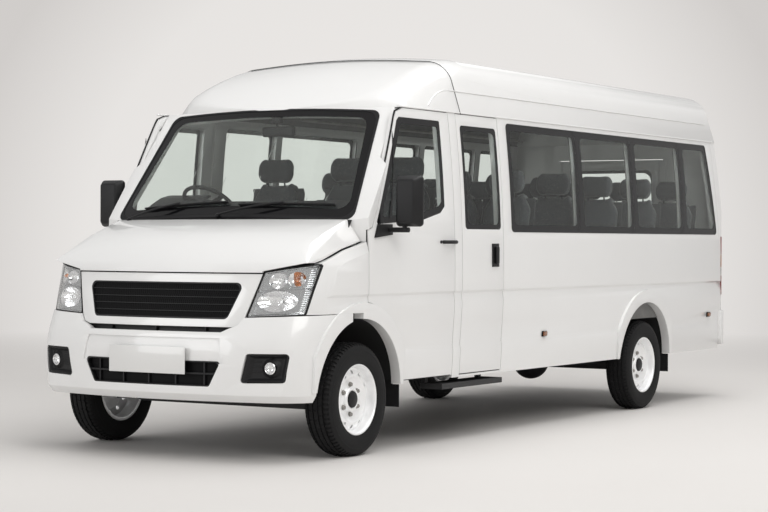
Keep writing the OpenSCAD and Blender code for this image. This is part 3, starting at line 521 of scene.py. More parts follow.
def rubber(name, color):
    material, tree, shader = new_material(name, color, 0.72, Specular_IOR_Level=0.28)
    vector = coordinates(tree)
    varied(tree, shader, vector, color, 0.25, 22, (0.62, 0.82))
    bump(tree, shader, noise(tree, vector, 420, 4), 0.25, 0.0006)
    return material


def metal(name, color, roughness, scale=60, spread=0.08, flake=0.05, metallic=1.0):
    material, tree, shader = new_material(name, color, sum(roughness) / 2, metallic)
    vector = coordinates(tree)
    varied(tree, shader, vector, color, spread, scale, roughness)
    bump(tree, shader, noise(tree, vector, scale * 14, 3), flake, 0.0004)
    return material


def satin_coat(name, color, roughness=(0.45, 0.65), dust=0.3):
    """Painted or coated steel under the floor, with a little dust in the cloud pattern."""
    material, tree, shader = new_material(name, color, 0.55)
    vector = coordinates(tree)
    varied(tree, shader, vector, color, dust, 9, roughness)
    bump(tree, shader, noise(tree, vector, 240, 4), 0.2, 0.001)
    return material


def glass(name, tint, roughness=0.0, ior=1.45):
    material, tree, shader = new_material(name, tint, roughness, 0.0, Transmission_Weight=1.0, IOR=ior)
    vector = coordinates(tree)
    varied(tree, shader, vector, tint, 0.01, 3)
    return material


def lens_plastic(name, color, pitch=260, transmission=0.75):
    """Moulded lamp lens with a fine prism pattern."""
    material, tree, shader = new_material(name, color, 0.12, 0.0, Transmission_Weight=transmission,
                                          Coat_Weight=1.0)
    vector = coordinates(tree)
    varied(tree, shader, vector, color, 0.06, 12)
    wave = tree.nodes.new("ShaderNodeTexWave")
    wave.bands_direction = "Z"
    wave.inputs["Scale"].default_value = pitch
    tree.links.new(vector, wave.inputs["Vector"])
    bump(tree, shader, wave.outputs["Fac"], 0.35, 0.0015)
    return material


def woven(name, color, accent):
    """Seat cloth: a fine crossed weave with a fleck of a second colour."""
    material, tree, shader = new_material(name, color, 0.9, 0.0, Sheen_Weight=0.5, Sheen_Roughness=0.4)
    vector = coordinates(tree)
    threads = []
    for direction in ("X", "Z"):
        wave = tree.nodes.new("ShaderNodeTexWave")
        wave.bands_direction = direction
        wave.inputs["Scale"].default_value = 150
        wave.inputs["Distortion"].default_value = 0.6
        tree.links.new(vector, wave.inputs["Vector"])
        threads.append(wave.outputs["Fac"])
    cross = tree.nodes.new("ShaderNodeMath")
    cross.operation = "MULTIPLY"
    tree.links.new(threads[0], cross.inputs[0])
    tree.links.new(threads[1], cross.inputs[1])
    fleck = noise(tree, vector, 90, 2)
    tree.links.new(ramp(tree, fleck, [(0.35, color), (0.62, [c * 1.25 for c in color]), (0.72, accent)]),
                   shader.inputs["Base Color"])
    bump(tree, shader, cross.outputs[0], 0.5, 0.0012)
    return material


def flooring(color):
    material, tree, shader = new_material("ribbed_floor", color, 0.6)
    vector = coordinates(tree)
    varied(tree, shader, vector, color, 0.15, 30, (0.5, 0.7))
    wave = tree.nodes.new("ShaderNodeTexWave")
    wave.bands_direction = "Y"
    wave.inputs["Scale"].default_value = 26
    tree.links.new(vector, wave.inputs["Vector"])
    bump(tree, shader, wave.outputs["Fac"], 0.4, 0.002)
    return material


FINISH = {}


def make_finishes(colors):
    FINISH.update(
        paint=body_paint(colors.paint),
        bumper=moulded_white(colors.paint),
        trim=grained_plastic("black_trim_plastic", (0.010, 0.010, 0.011), (0.42, 0.56)),
        gloss_black=grained_plastic("gloss_black_plastic", (0.008, 0.008, 0.009), (0.10, 0.18), 300),
        frit=grained_plastic("ceramic_frit", (0.006, 0.006, 0.007), (0.06, 0.12), 200),
        seal=rubber("rubber_seal", (0.012, 0.012, 0.013)),
        tyre=rubber("tyre_rubber", (0.008, 0.008, 0.0085)),
        wheel=metal("wheel_silver", (0.96, 0.965, 0.97), (0.30, 0.42), 40, 0.02, metallic=0.45),
        chrome=metal("bright_reflector", (0.92, 0.92, 0.93), (0.05, 0.09), 8, 0.02, 0.0),
        bezel=metal("lamp_bezel", (0.52, 0.53, 0.54), (0.16, 0.22), 8, 0.03, 0.0),
        grille=grained_plastic("grille_black", (0.004, 0.004, 0.0045), (0.50, 0.62), 300, 0.12),
        steel=metal("dull_steel", (0.36, 0.35, 0.33), (0.38, 0.55), 18, 0.2, 0.2),
        cast=satin_coat("cast_metal", (0.10, 0.10, 0.10), (0.6, 0.8), 0.35),
        chassis=satin_coat("chassis_coat", (0.022, 0.022, 0.023)),
        housing=grained_plastic("arch_liner", (0.014, 0.014, 0.014), (0.6, 0.8), 260),
        screen=glass("clear_screen_glass", (0.88, 0.93, 0.90)),
        tinted=glass("tinted_side_glass", (0.88, 0.92, 0.90), ior=1.2),
        lens=glass("clear_lens", (0.96, 0.97, 0.97)),
        red=lens_plastic("red_lens", (0.50, 0.008, 0.008)),
        amber=lens_plastic("amber_lens", (0.85, 0.24, 0.02), 420),
        white_lens=lens_plastic("white_lens", (0.85, 0.85, 0.85)),
        dash=grained_plastic("dash_plastic", (0.035, 0.037, 0.040), (0.5, 0.65), 700),
        # grey lining, its colour darkened to paint the shade inside the body
        lining=grained_plastic("pale_lining", (0.17, 0.17, 0.165), (0.7, 0.85), 500),
        fabric=woven("seat_cloth", (0.060, 0.064, 0.070), (0.16, 0.17, 0.19)),
        seat_shell=grained_plastic("seat_shell_plastic", (0.05, 0.052, 0.055), (0.45, 0.6), 500),
        floor=flooring((0.07, 0.07, 0.073)),
        plate=moulded_white((0.74, 0.74, 0.73), "blank_plate"),
        mirror=metal("mirror_glass", (0.9, 0.92, 0.93), (0.01, 0.03), 5, 0.01, 0.0),
    )


def finish(obj, key):
    obj.data.materials.clear()
    obj.data.materials.append(FINISH[key])


def coat(key, *nodes):
    """Give CAD nodes that stay in sight their finish, through their own material slots."""
    for node in nodes:
        for slot in NODES[node].material_slots:
            slot.material = FINISH[key]


def place(obj, key, body, slot=None, nodes=()):
    """Give a finished piece its material, its body and what it stands for."""
    finish(obj, key)
    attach(obj, body)
    if nodes:
        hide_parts(*nodes)
    return obj


def place_pair(left, stem, key, slot=None, on_doors=False):
    """Place a left piece and its right twin, on the main body or each on its own front door."""
    right = twin(left, f"{stem}_right", FLIP_Y)
    left.name = f"{stem}_left"
    for side, obj in (("left", left), ("right", right)):
        place(obj, key, f"front_door_{side}" if on_doors else "body", slot)


# ---- sizes and colours a user would change --------------------------------------------------

class MinibusColours(bpy.types.PropertyGroup):
    paint: bpy.props.FloatVectorProperty(
        name="Body paint", description="Colour of the painted body panels", subtype="COLOR",
        size=3, min=0, max=1, default=(0.80, 0.80, 0.795))
    floor: bpy.props.FloatVectorProperty(
        name="Studio floor", description="Colour of the floor and backdrop", subtype="COLOR",
        size=3, min=0, max=1, default=(0.70, 0.68, 0.66))


class MinibusSizes(bpy.types.PropertyGroup):
    panel_edge: bpy.props.FloatProperty(
        name="Panel edge", description="Radius of the rounded panel edges", unit="LENGTH",
        default=0.004, min=0.001, max=0.008)
    frit: bpy.props.FloatProperty(
        name="Black border", description="Width of the black border around each side pane", unit="LENGTH",
        default=0.042, min=0.02, max=0.06)
    tread_depth: bpy.props.FloatProperty(
        name="Tread depth", description="Depth of the tyres' tread grooves", unit="LENGTH",
        default=0.008, min=0.004, max=0.010)
    tread_lugs: bpy.props.IntProperty(
        name="Tread blocks", description="Number of shoulder blocks round each tyre",
        default=72, min=40, max=90)
    lens: bpy.props.FloatProperty(
        name="Camera lens", description="Focal length of the studio camera", unit="CAMERA",
        default=94.2, min=50, max=150)


def sizes():
    return bpy.context.scene.minibus_sizes


# ---- body -----------------------------------------------------------------------------------

class MINIBUS_OT_panels(bpy.types.Operator):
    """Painted panels with rounded edges in place of the plain CAD panels"""
    bl_idname = "minibus.panels"
    bl_label = "Body panels"

    PAINTED = (
        ("side_panel_left", "body_side_left", "body"),
        ("side_panel_right", "body_side_right", "body"),
        ("roof_panel", "roof", "body"),
        ("roof_cap_panel", "roof_cap", "body"),
        ("screen_surround", "windscreen_frame", "body"),
        ("wing_panels", "front_wings", "body"),
        ("bonnet_panel", "bonnet", "bonnet"),
        ("front_door_skin_left", "front_door_left", "front_door_left"),
        ("front_door_skin_right", "front_door_right", "front_door_right"),
        ("passenger_door_skin", "passenger_door", "passenger_door"),
        ("rear_door_skin", "rear_door", "rear_door"),
    )
    MOULDED = (
        ("nose_surround", "nose_panel", "body"),
        ("front_bumper_cover", "front_bumper", "body"),
        ("rear_bumper_cover", "rear_bumper", "body"),
    )

    def execute(self, context):
        edge = sizes().panel_edge
        for panels, key, slot in ((self.PAINTED, "paint", "body_paint"),
                                  (self.MOULDED, "bumper", "bumper_plastic")):
            for name, node, body in panels:
                panel = round_edges(cad_copy(node, name), edge)
                place(panel, key, body, slot, (node,))
        coat("paint", "rear_panel")
        return {"FINISHED"}


class MINIBUS_OT_glazing(bpy.types.Operator):
    """Glass panes with black borders, bars and seals"""
    bl_idname = "minibus.glazing"
    bl_label = "Windows"

    def outline(self, i, g):
        a = pane_x(i) - PILLAR_W / 2 - g
        b = pane_x(i + 1) + PILLAR_W / 2 + g
        top = b + (BAND_LEAN if i == 3 else 0)
        return [(a, BAND_Z[0] + g), (a, BAND_Z[1] - g), (top, BAND_Z[1] - g), (b, BAND_Z[0] + g)]

    def border(self, name, outer, inner, radius=0.03, surface=on_left, depth=0.0002, thick=0.0007):
        def lay(u, v, d):
            return surface(u, v, depth + d)
        loops = [divided(rounded(p, r), 5, 14) for p, r in ((outer, radius), (inner, radius * 1.4))]
        return band_between(name, loops[0], loops[1], lay, thick)

    def execute(self, context):
        frit = sizes().frit
        borders = {"left": [], "right": []}
        for i in range(4):
            ring = self.border(f"border_{i}", self.outline(i, 0.001), self.outline(i, frit))
            borders["left"].append(ring)
            borders["right"].append(twin(ring, f"border_right_{i}", FLIP_Y))
        a, b = X_DOOR1 - 0.11, X_BAND0 + PILLAR_W / 2
        def extra(g):
            return [(a - g, BAND_Z[0] + g), (a - g, BAND_Z[1] - g), (b + g, BAND_Z[1] - g),
                    (b + g, BAND_Z[0] + g)]
        extra_ring = self.border("border_extra", extra(0.001), extra(frit))
        borders["right"].append(twin(extra_ring, "border_right_extra", FLIP_Y))
        bpy.data.objects.remove(extra_ring)
        # strips over the pillars make the row of panes read as one dark band
        for i in range(1, 4):
            x = pane_x(i)
            half = PILLAR_W / 2 + 0.001
            strip = sheet_on(f"pillar_{i}", oblong((x + half, BAND_Z[0] - 0.001),
                                                   (x - half, BAND_Z[1] + 0.001)),
                             lambda u, v, d: on_left(u, v, d - 0.0012), 0.001)
            ends = [sheet_on(f"pillar_end_{i}", oblong((x + half + 0.031, z),
                                                       (x - half - 0.031, z + 0.030)),
                             lambda u, v, d: on_left(u, v, d - 0.0010), 0.0008)
                    for z in (BAND_Z[0] - 0.001, BAND_Z[1] - 0.029)]
            strip = join(f"pillar_{i}", [strip, *ends])
            borders["left"].append(strip)
            borders["right"].append(twin(strip, f"pillar_right_{i}", FLIP_Y))
        # rubber lip round the whole band
        xa, xb = pane_x(0) - PILLAR_W / 2, BAND_END + PILLAR_W / 2
        def whole(g):
            return [(xa + g, BAND_Z[0] - g), (xa + g, BAND_Z[1] + g), (xb + BAND_LEAN - g, BAND_Z[1] + g),
                    (xb - g, BAND_Z[0] - g)]
        lip = self.border("band_lip", whole(0.009), whole(-0.001), 0.034, depth=-0.002, thick=0.004)
        borders["left"].append(lip)
        borders["right"].append(twin(lip, "band_lip_right", FLIP_Y))
        for side, pieces in borders.items():
            place(join(f"window_borders_{side}", pieces), "frit", "body", "black_trim")

        # front doors
        glass_outer = [(XF - 0.180, 1.434), (XF - 0.498, 2.100), (XF - 0.530, 2.126), (XF - 1.050, 2.126),
                       (XF - 1.048, 1.560), (XF - 0.990, 1.516), (XF - 0.760, 1.468)]
        glass_inner = [(XF - 0.247, 1.480), (XF - 0.536, 2.062), (XF - 0.560, 2.084), (XF - 1.008, 2.084),
                       (XF - 1.006, 1.590), (XF - 0.968, 1.560), (XF - 0.742, 1.512)]
        ring = self.border("door_border", glass_outer, glass_inner, 0.012)
        bar = sheet_on("quarter_bar", [(XF - 0.335, 1.470), (XF - 0.372, 1.478), (XF - 0.432, 2.030),
                                       (XF - 0.448, 1.93)],
                       lambda u, v, d: on_left(u, v, d - 0.002), 0.003)
        door = join("door_window_border_left", [ring, bar])
        place_pair(door, "door_window_border", "frit", "black_trim", True)

        # passenger door
        def entry(g):
            return [(X_ENTRY0 - 0.044 - g, 1.412 + g), (X_ENTRY0 - 0.044 - g, 2.112 - g),
                    (X_ENTRY1 + 0.030 + g, 2.112 - g), (X_ENTRY1 + 0.030 + g, 1.412 + g)]
        place(self.border("entry_window_border", entry(0.001), entry(frit * 0.8), 0.028), "frit",
              "passenger_door", "black_trim")

        # rear door
        def rear(g):
            return [(0.41 - g, 0.67 + g), (0.41 - g, 1.23 - g), (g - 0.41, 1.23 - g), (g - 0.41, 0.67 + g)]
        place(self.border("rear_window_border", rear(0.001), rear(0.045), 0.05, on_tail), "frit",
              "rear_door", "black_trim")

        # windscreen
        clear = [(0.923 - 0.046, 0.064), (0.813 - 0.058, 0.80), (0.058 - 0.813, 0.80),
                 (0.046 - 0.923, 0.064)]
        full = [(0.922, 0.001), (0.812, 0.849), (-0.812, 0.849), (-0.922, 0.001)]
        screen = self.border("screen_border", full, clear, 0.06, on_screen, -0.0004)
        place(screen, "frit", "body", "black_trim")
        gasket_out = [(0.937, -0.014), (0.827, 0.864), (-0.827, 0.864), (-0.937, -0.014)]
        gasket = self.border("screen_gasket", gasket_out, full, 0.066, on_screen, -0.003, 0.003)
        place(gasket, "seal", "body", "black_trim")

        coat("screen", "windscreen")
        coat("tinted", "side_glass", "front_window_left", "front_window_right", "passenger_door_window",
             "rear_door_window")
        return {"FINISHED"}


class MINIBUS_OT_wheels(bpy.types.Operator):
    """Silver steel wheels with bolts and caps, and tyres with tread"""
    bl_idname = "minibus.wheels"
    bl_label = "Wheels and tyres"

    def tyre(self):
        """Tyre turned round Z with its outer side towards +Z."""
        half = 0.0975
        depth = sizes().tread_depth
        r = 0.35
        groove = [(-0.052, 0.010), (-0.018, 0.008), (0.018, 0.008), (0.052, 0.010)]
        profile = [(0.2062, -0.0752), (0.2218, -0.0800), (0.2222, -0.0882), (0.236, -0.0925),
                   (0.252, -0.0958), (0.272, -0.0972), (0.290, -half), (0.3015, -0.0955), (0.3035, -0.0965),
                   (0.318, -0.093), (0.334, -0.0855), (0.3425, -0.078), (0.347, -0.070)]
        for at, wide in groove:
            profile += [(r, at - wide / 2), (r - depth, at - wide / 2 + 0.001),
                        (r - depth, at + wide / 2 - 0.001), (r, at + wide / 2)]
        profile += [(p[0], -p[1]) for p in reversed(profile[:13])]
        profile += [(0.2062, 0.03), (0.2062, -0.03)]
        lugs = sizes().tread_lugs
        tyre = spun("tyre_master", profile, lugs * 2, closed=True)
        # every other shoulder face sinks to leave blocks, and the ribs get short cuts
        def sunk(face):
            c = face.center
            angle = math.atan2(c.y, c.x) % (2 * math.pi)
            step = int(angle / (math.pi / lugs)) % 2
            radius = math.hypot(c.x, c.y)
            shoulder = 0.335 < radius and 0.0575 < abs(c.z) < 0.082
            return shoulder and step == 0
        pick(tyre, sunk)
        bpy.ops.mesh.extrude_region_shrink_fatten(TRANSFORM_OT_shrink_fatten={"value": -0.006})
        bpy.ops.mesh.select_all(action="SELECT")
        bpy.ops.mesh.normals_make_consistent(inside=False)
        done()
        def sipe(face):
            c = face.center
            angle = math.atan2(c.y, c.x) % (2 * math.pi)
            step = int(angle / (math.pi / lugs)) % 4
            return math.hypot(c.x, c.y) > 0.3485 and abs(c.z) < 0.048 and step == (1 if c.z > 0 else 3)
        pick(tyre, sipe)
        bpy.ops.mesh.inset(thickness=0.0042, depth=-0.005, use_individual=True)
        done()
        return smooth(tyre, 28)

    def rim(self, name):
        """Steel wheel turned round Z: rim, dished disc, raised ring and hub."""
        profile = [(0.0302, -0.033), (0.066, -0.035), (0.072, 0.010), (0.120, 0.017), (0.150, 0.031),
                   (0.178, 0.020), (0.1985, 0.008), (0.1985, -0.087), (0.214, -0.0885), (0.2195, -0.0865),
                   (0.2203, -0.0815), (0.2045, -0.0745), (0.2045, 0.0745), (0.2203, 0.0815),
                   (0.2195, 0.0865), (0.2140, 0.0885), (0.2085, 0.0850), (0.2045, 0.0800), (0.2010, 0.0600),
                   (0.1985, 0.0420), (0.1955, 0.0310), (0.1900, 0.0290), (0.1800, 0.0335), (0.1660, 0.0430),
                   (0.1520, 0.0480), (0.1440, 0.0470), (0.1330, 0.0380), (0.1180, 0.0310), (0.0950, 0.0265),
                   (0.0820, 0.0255), (0.0780, 0.0290), (0.0750, 0.0400), (0.0700, 0.0450), (0.0580, 0.0470),
                   (0.0540, 0.0440), (0.0302, 0.0330)]
        rim = spun(name, profile, 96, closed=True)
        cutters = []
        for i in range(12):
            a = 2 * math.pi * i / 12
            fresh()
            bpy.ops.mesh.primitive_cylinder_add(vertices=24, radius=0.0125, depth=0.09,
                                                location=(0.168 * math.cos(a), 0.168 * math.sin(a), 0.025))
            cutters.append(settle(named(f"vent_{i}")))
        cutter = join("vents", cutters)
        modify(rim, "BOOLEAN", operation="DIFFERENCE", object=cutter, solver="EXACT")
        bpy.data.objects.remove(cutter)
        return smooth(rim, 30)

    def execute(self, context):
        tyre = self.tyre()
        rim = self.rim("rim_master")
        cap = spun("cap_master", [(0.0, 0.0605), (0.020, 0.0600), (0.030, 0.0570), (0.044, 0.0560),
                                  (0.050, 0.0520), (0.052, 0.0440), (0.052, 0.0400), (0.0, 0.0400)], 48,
                                  closed=False)
        bolts = []
        for i in range(6):
            a = 2 * math.pi * (i + 0.5) / 6
            centre = (0.093 * math.cos(a), 0.093 * math.sin(a), 0.034)
            bolts.append(disc(f"bolt_{i}", centre, 0.0125, 0.018, (0, 0, 1), 6, 0.002))
            bolts.append(disc(f"washer_{i}", (centre[0], centre[1], 0.027), 0.017, 0.004, (0, 0, 1), 24,
                              0.001))
        bolts = join("bolt_master", bolts)
        # valve
        valve = disc("valve_master", (0.186, 0, 0.036), 0.004, 0.030, (0.2, 0, 1), 12, 0.001)
        turn = Matrix.Rotation(-math.pi / 2, 4, "X")
        for x, end in ((XF, "front"), (XR, "rear")):
            for side, flip in (("left", 1), ("right", -1)):
                facing = turn if flip == 1 else Matrix.Rotation(math.pi, 4, "Z") @ turn
                put = Matrix.Translation((x, flip * WHEEL_Y, AXLE_Z)) @ facing
                label = f"{end}_{side}"
                body = f"wheel_{label}"
                place(twin(tyre, f"tyre_{label}_tread", put), "tyre", body, "tyre", (f"tyre_{label}",))
                place(twin(rim, f"wheel_{label}_disc", put), "wheel", body, "steel_wheel",
                      (f"rim_{label}",))
                place(twin(cap, f"wheel_{label}_cap", put), "trim", body, "black_trim")
                place(join(f"wheel_{label}_bolts", [twin(bolts, "bolts", put), twin(valve, "valve", put)]),
                      "steel", body, "steel_wheel")
        for master in (tyre, rim, cap, bolts, valve):
            bpy.data.objects.remove(master)
        return {"FINISHED"}


class MINIBUS_OT_underbody(bpy.types.Operator):
    """Finishes of the chassis, axles, engine, floor and liners"""
    bl_idname = "minibus.underbody"
    bl_label = "Underbody finishes"

    def execute(self, context):
        coat("chassis", "chassis_frame", "step_board", "front_axle", "rear_axle", "leaf_springs",
             "fuel_tank")
        coat("housing", "front_carrier", "radiator", "wheel_housings")
        coat("cast", "engine", "knuckle_left", "knuckle_right")
        coat("floor", "floor")
        coat("seal", "mud_flaps")
        coat("steel", "exhaust")
        return {"FINISHED"}


class MINIBUS_OT_stage(bpy.types.Operator):
    """Pale floor and backdrop, soft studio lamps and the camera"""
    bl_idname = "minibus.stage"
    bl_label = "Studio"

    def lamp(self, name, location, target, size, energy, tint=(1, 1, 1)):
        data = bpy.data.lights.new(name, "AREA")
        data.shape = "RECTANGLE"
        data.size, data.size_y = size
        data.energy = energy
        data.color = tint
        lamp = bpy.data.objects.new(name, data)
        bpy.context.scene.collection.objects.link(lamp)
        lamp.location = location
        lamp.rotation_euler = (Vector(target) - Vector(location)).to_track_quat("-Z", "Y").to_euler()

    def backdrop_painted_light(self, tree, direction):
        """Painted light on the backdrop: a painted pool of light palest behind the middle of the view, with
        painted shade dimmer towards its corners.
        """
        nodes, links = tree.nodes, tree.links
        dot = nodes.new("ShaderNodeVectorMath")
        dot.operation = "DOT_PRODUCT"
        dot.inputs[1].default_value = self.look()
        links.new(direction, dot.inputs[0])
        return ramp(tree, span(tree, dot.outputs["Value"], 0.978, 1.0),
                    [(0.0, (0.635, 0.612, 0.595)), (0.5, (0.80, 0.778, 0.758)),
                     (1.0, (0.83, 0.805, 0.785))])

    def look(self):
        a, e = CAMERA_TURN, CAMERA_DIP
        return Vector((-math.cos(a) * math.cos(e), -math.sin(a) * math.cos(e), -math.sin(e)))

    def seamless(self, colors):
        """Floor that turns into the backdrop's colour, with its painted pool of light, away from the
        vehicle.
        """
        material, tree, shader = new_material("studio_floor", colors.floor, 0.6)
        nodes, links = tree.nodes, tree.links
        vector = coordinates(tree)
        varied(tree, shader, vector, colors.floor, 0.01, 0.4)
        far = nodes.new("ShaderNodeVectorMath")
        far.operation = "LENGTH"
        links.new(vector, far.inputs[0])
        away = nodes.new("ShaderNodeVectorMath")
        away.operation = "SUBTRACT"
        links.new(vector, away.inputs[0])
        away.inputs[1].default_value = CAMERA
        straight = nodes.new("ShaderNodeVectorMath")
        straight.operation = "NORMALIZE"
        links.new(away.outputs[0], straight.inputs[0])
        light = nodes.new("ShaderNodeEmission")
        # the far floor glows with the backdrop's painted light and shade
        links.new(self.backdrop_painted_light(tree, straight.outputs[0]), light.inputs["Color"])
        mix = nodes.new("ShaderNodeMixShader")
        links.new(span(tree, far.outputs["Value"], 5.0, 15.0), mix.inputs[0])
        links.new(shader.outputs[0], mix.inputs[1])
        links.new(light.outputs[0], mix.inputs[2])
        links.new(mix.outputs[0], nodes.get("Material Output").inputs["Surface"])
        return material

    def execute(self, context):
        colors = context.scene.minibus_colours
        fresh()
        bpy.ops.mesh.primitive_plane_add(size=160, location=(0, 0, 0))
        ground = named("studio_floor")
        ground.data.materials.append(self.seamless(colors))
        scene = context.scene
        scene.view_settings.view_transform = "Standard"
        world = scene.world or bpy.data.worlds.new("studio")
        scene.world = world
        world.use_nodes = True
        nodes, links = world.node_tree.nodes, world.node_tree.links
        nodes.clear()
        output = nodes.new("ShaderNodeOutputWorld")
        ambient = nodes.new("ShaderNodeBackground")
        ambient.inputs["Color"].default_value = (1.0, 0.985, 0.97, 1)
        ambient.inputs["Strength"].default_value = 0.55
        seen = nodes.new("ShaderNodeBackground")
        spot = nodes.new("ShaderNodeTexCoord")
        # camera and transmission rays see the backdrop's painted pool of light
        links.new(self.backdrop_painted_light(world.node_tree, spot.outputs["Generated"]), seen.inputs["Color"])
        seen.inputs["Strength"].default_value = 1.0
        path = nodes.new("ShaderNodeLightPath")
        most = nodes.new("ShaderNodeMath")
        most.operation = "MAXIMUM"
        links.new(path.outputs["Is Camera Ray"], most.inputs[0])
        links.new(path.outputs["Is Transmission Ray"], most.inputs[1])
        mix = nodes.new("ShaderNodeMixShader")
        links.new(most.outputs[0], mix.inputs[0])
        links.new(ambient.outputs[0], mix.inputs[1])
        links.new(seen.outputs[0], mix.inputs[2])
        links.new(mix.outputs[0], output.inputs["Surface"])
        self.lamp("key", (7.0, 9.5, 8.5), (0, 0, 1), (7, 5), 430, (1, 0.99, 0.97))
        self.lamp("top", (-1.0, 2.0, 9.0), (-0.5, 0, 1), (11, 6), 560)
        self.lamp("front_fill", (12.0, -5.0, 4.0), (2, 0, 1), (5, 5), 230, (0.98, 0.99, 1))
        camera_data = bpy.data.cameras.new("studio_camera")
        camera_data.lens = sizes().lens
        camera_data.sensor_width = 36
        camera_data.clip_end = 300
        camera = bpy.data.objects.new("studio_camera", camera_data)
        scene.collection.objects.link(camera)
        aim = self.look().to_track_quat("-Z", "Y").to_matrix().to_4x4()
        turn = aim @ Matrix.Rotation(CAMERA_ROLL, 4, "Z")
        camera.matrix_world = Matrix.Translation(CAMERA) @ turn
        scene.camera = camera
        return {"FINISHED"}


def bead(name, points, radius, sides=8):
    """Round bead of a given radius along a row of points."""
    fresh()
    data = bpy.data.curves.new(name, "CURVE")
    data.dimensions = "3D"
    spline = data.splines.new("POLY")
    spline.points.add(len(points) - 1)
    for knot, point in zip(spline.points, points):
        knot.co = (*point, 1)
    data.bevel_depth = radius
    data.bevel_resolution = max(1, sides // 4)
    data.use_fill_caps = True
    obj = bpy.data.objects.new(name, data)
    bpy.context.scene.collection.objects.link(obj)
    take(obj)
    bpy.ops.object.convert(target="MESH")
    obj = outward(named(name))
    return smooth(obj, 60)


def relief(name, corners, place_at, depth_at, columns, rows, wall=0.002, keep=None):
    """Moulded sheet over a four-cornered outline, with a depth at each point; keep picks its faces."""
    fresh()
    bpy.ops.mesh.primitive_grid_add(x_subdivisions=columns, y_subdivisions=rows, size=1)
    obj = named(name)
    a, b, c, d = [Vector(p) for p in corners]
    for vertex in obj.data.vertices:
        u, v = vertex.co.x + 0.5, vertex.co.y + 0.5
        point = a.lerp(b, u).lerp(d.lerp(c, u), v)
        vertex.co = place_at(point.x, point.y, depth_at(point.x, point.y, u, v))
    if keep:
        pick(obj, lambda f: not keep(f.center.y, f.center.z))
        bpy.ops.mesh.delete(type="FACE")
        done()
    modify(obj, "SOLIDIFY", thickness=wall, offset=-1)
    return smooth(outward(obj), 50)


def edge_of(u, v):
    """Distance from the rim of a unit square."""
    return min(u, 1 - u, v, 1 - v)


def step_up(value, low, high):
    t = min(1.0, max(0.0, (value - low) / (high - low)))
    return t * t * (3 - 2 * t)


